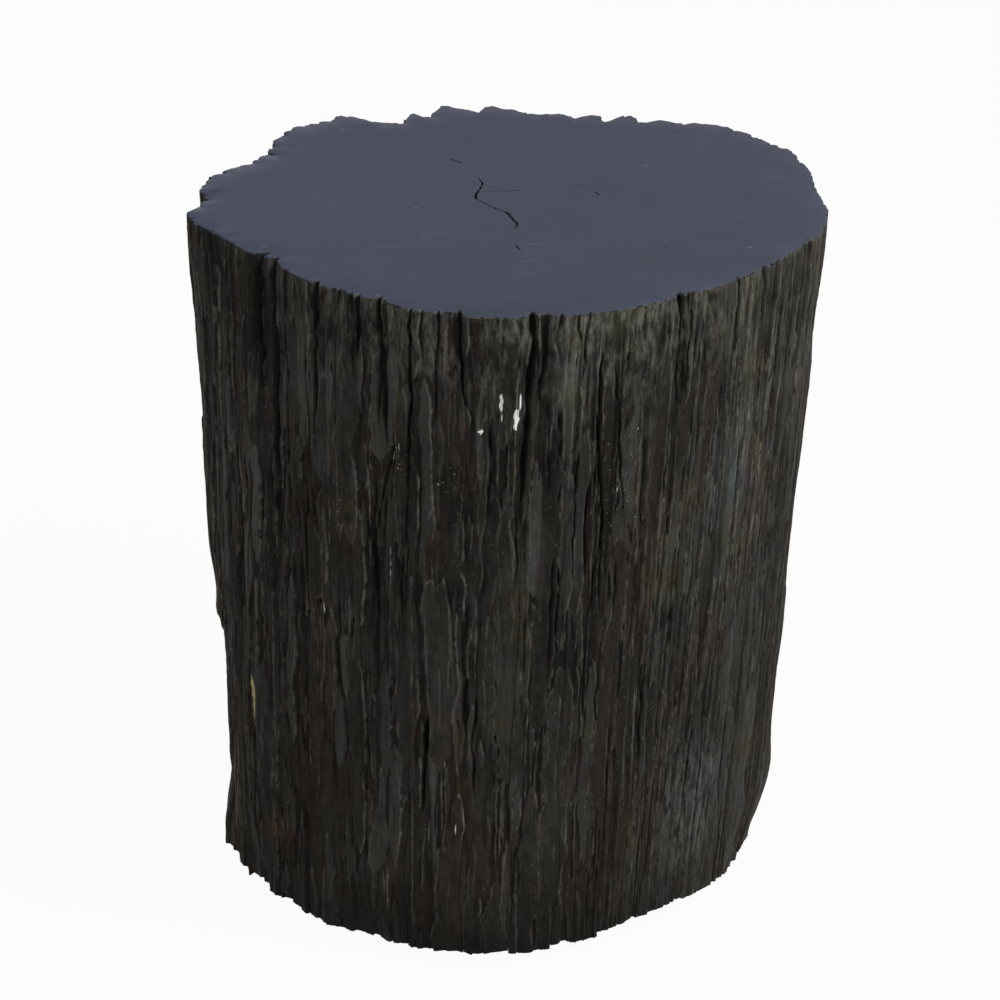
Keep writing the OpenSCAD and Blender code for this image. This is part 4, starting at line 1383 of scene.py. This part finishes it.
class LOG_OT_stage(bpy.types.Operator):
    """Sets the floor, the lamps, the even light and the camera"""
    bl_idname = "log_stool.stage"
    bl_label = "Stage"

    def execute(self, context):
        scene = context.scene
        p = scene.log_stage
        scene.view_settings.view_transform = "Standard"
        self.floor(p)
        self.sky(scene, p)
        self.lamp("Key", (2.2, -1.3, 2.4), 2.0, p.key)
        self.lamp("Fill", (-1.4, -2.6, 1.5), 2.0, p.fill)
        self.lamp("Back", (-0.9, 2.9, 0.42), 0.8, p.back)
        camera = bpy.data.objects.new("Camera", bpy.data.cameras.new("Camera"))
        camera.data.sensor_width = 36
        camera.data.lens = p.lens
        camera.data.clip_end = 50
        camera.location = p.eye
        camera.rotation_euler = (math.pi / 2 - p.pitch, 0, 0)
        scene.collection.objects.link(camera)
        scene.camera = camera
        return {"FINISHED"}

    def lamp(self, name, place, size, power):
        """A square lamp that is turned to the middle of the stool."""
        lamp = bpy.data.lights.new(name, "AREA")
        lamp.size = size
        lamp.energy = power
        obj = bpy.data.objects.new(name, lamp)
        obj.location = place
        middle = Vector((0, 0, 0.25))
        obj.rotation_euler = (middle - Vector(place)).to_track_quat("-Z", "Y").to_euler()
        bpy.context.scene.collection.objects.link(obj)

    def floor(self, p):
        """A wide floor that reads as white to the eye and keeps a soft shadow."""
        mat = bpy.data.materials.new("Pale Floor")
        mat.use_nodes = True
        n = Nodes(mat.node_tree)
        n.tree.nodes.remove(n.tree.nodes["Principled BSDF"])
        grain = n.span(n.noise(n.place(), 3.0, 2.0), 0.3, 0.7, 0.0, 0.05)
        colour = n.mix(grain, p.floor, srgb(228, 228, 228))
        matte = n.add("ShaderNodeBsdfDiffuse", {"Color": colour})
        glow = n.add("ShaderNodeEmission", {"Color": (1, 1, 1), "Strength": 1.0})
        seen = n.times(n.seen_directly(), 0.95)
        blend = n.add("ShaderNodeMixShader", {0: seen, 1: matte, 2: glow})
        # From below the floor is clear, so that the foot of the stool can be looked at
        below = n.add("ShaderNodeNewGeometry", out="Backfacing")
        clear = n.add("ShaderNodeBsdfTransparent")
        blend = n.add("ShaderNodeMixShader", {0: below, 1: blend, 2: clear})
        n.feed(n.tree.nodes["Material Output"].inputs["Surface"], blend)
        mesh = bpy.data.meshes.new("floor")
        half = 16
        corners = [(-half, -half, 0), (half, -half, 0), (half, half, 0), (-half, half, 0)]
        mesh.from_pydata(corners, [], [[0, 1, 2, 3]])
        mesh.materials.append(mat)
        obj = bpy.data.objects.new("floor", mesh)
        bpy.context.scene.collection.objects.link(obj)

    def sky(self, scene, p):
        """An even light all round, white where it is seen."""
        world = bpy.data.worlds.new("Even Light")
        world.use_nodes = True
        scene.world = world
        n = Nodes(world.node_tree)
        back = n.tree.nodes["Background"]
        back.inputs["Color"].default_value = (1, 1, 1, 1)
        n.feed(back.inputs["Strength"], n.span(n.seen_directly(), 0.0, 1.0, p.sky, 1.0))


class LOG_PT_stool(bpy.types.Panel):
    """Lists the pieces of the stool and their settings"""
    bl_label = "Log Stool"
    bl_space_type = "VIEW_3D"
    bl_region_type = "UI"
    bl_category = "Log Stool"

    def draw(self, context):
        scene = context.scene
        for operator, settings in (
            (LOG_OT_heart, None), (LOG_OT_rind, scene.log_rind), (LOG_OT_coat, scene.log_coat),
            (LOG_OT_inserts, None), (LOG_OT_screws, None), (LOG_OT_pads, scene.log_glide),
            (LOG_OT_stage, scene.log_stage),
        ):
            box = self.layout.box()
            box.operator(operator.bl_idname)
            if settings:
                for key in settings.__annotations__:
                    box.prop(settings, key)


SETTINGS = {
    "log_rind": RindSettings,
    "log_coat": CoatSettings,
    "log_glide": GlideSettings,
    "log_stage": StageSettings,
}
CLASSES = (
    *SETTINGS.values(), LOG_OT_heart, LOG_OT_rind, LOG_OT_coat, LOG_OT_inserts, LOG_OT_screws, LOG_OT_pads,
    LOG_OT_stage, LOG_PT_stool,
)


def register():
    for cls in CLASSES:
        bpy.utils.register_class(cls)
    for name, cls in SETTINGS.items():
        setattr(bpy.types.Scene, name, bpy.props.PointerProperty(type=cls))


def unregister():
    for name in SETTINGS:
        delattr(bpy.types.Scene, name)
    for cls in reversed(CLASSES):
        bpy.utils.unregister_class(cls)


def main():
    register()
    for piece in ("heart", "rind", "coat", "inserts", "screws", "pads", "stage"):
        getattr(bpy.ops.log_stool, piece)()


if __name__ == "__main__":
    main()
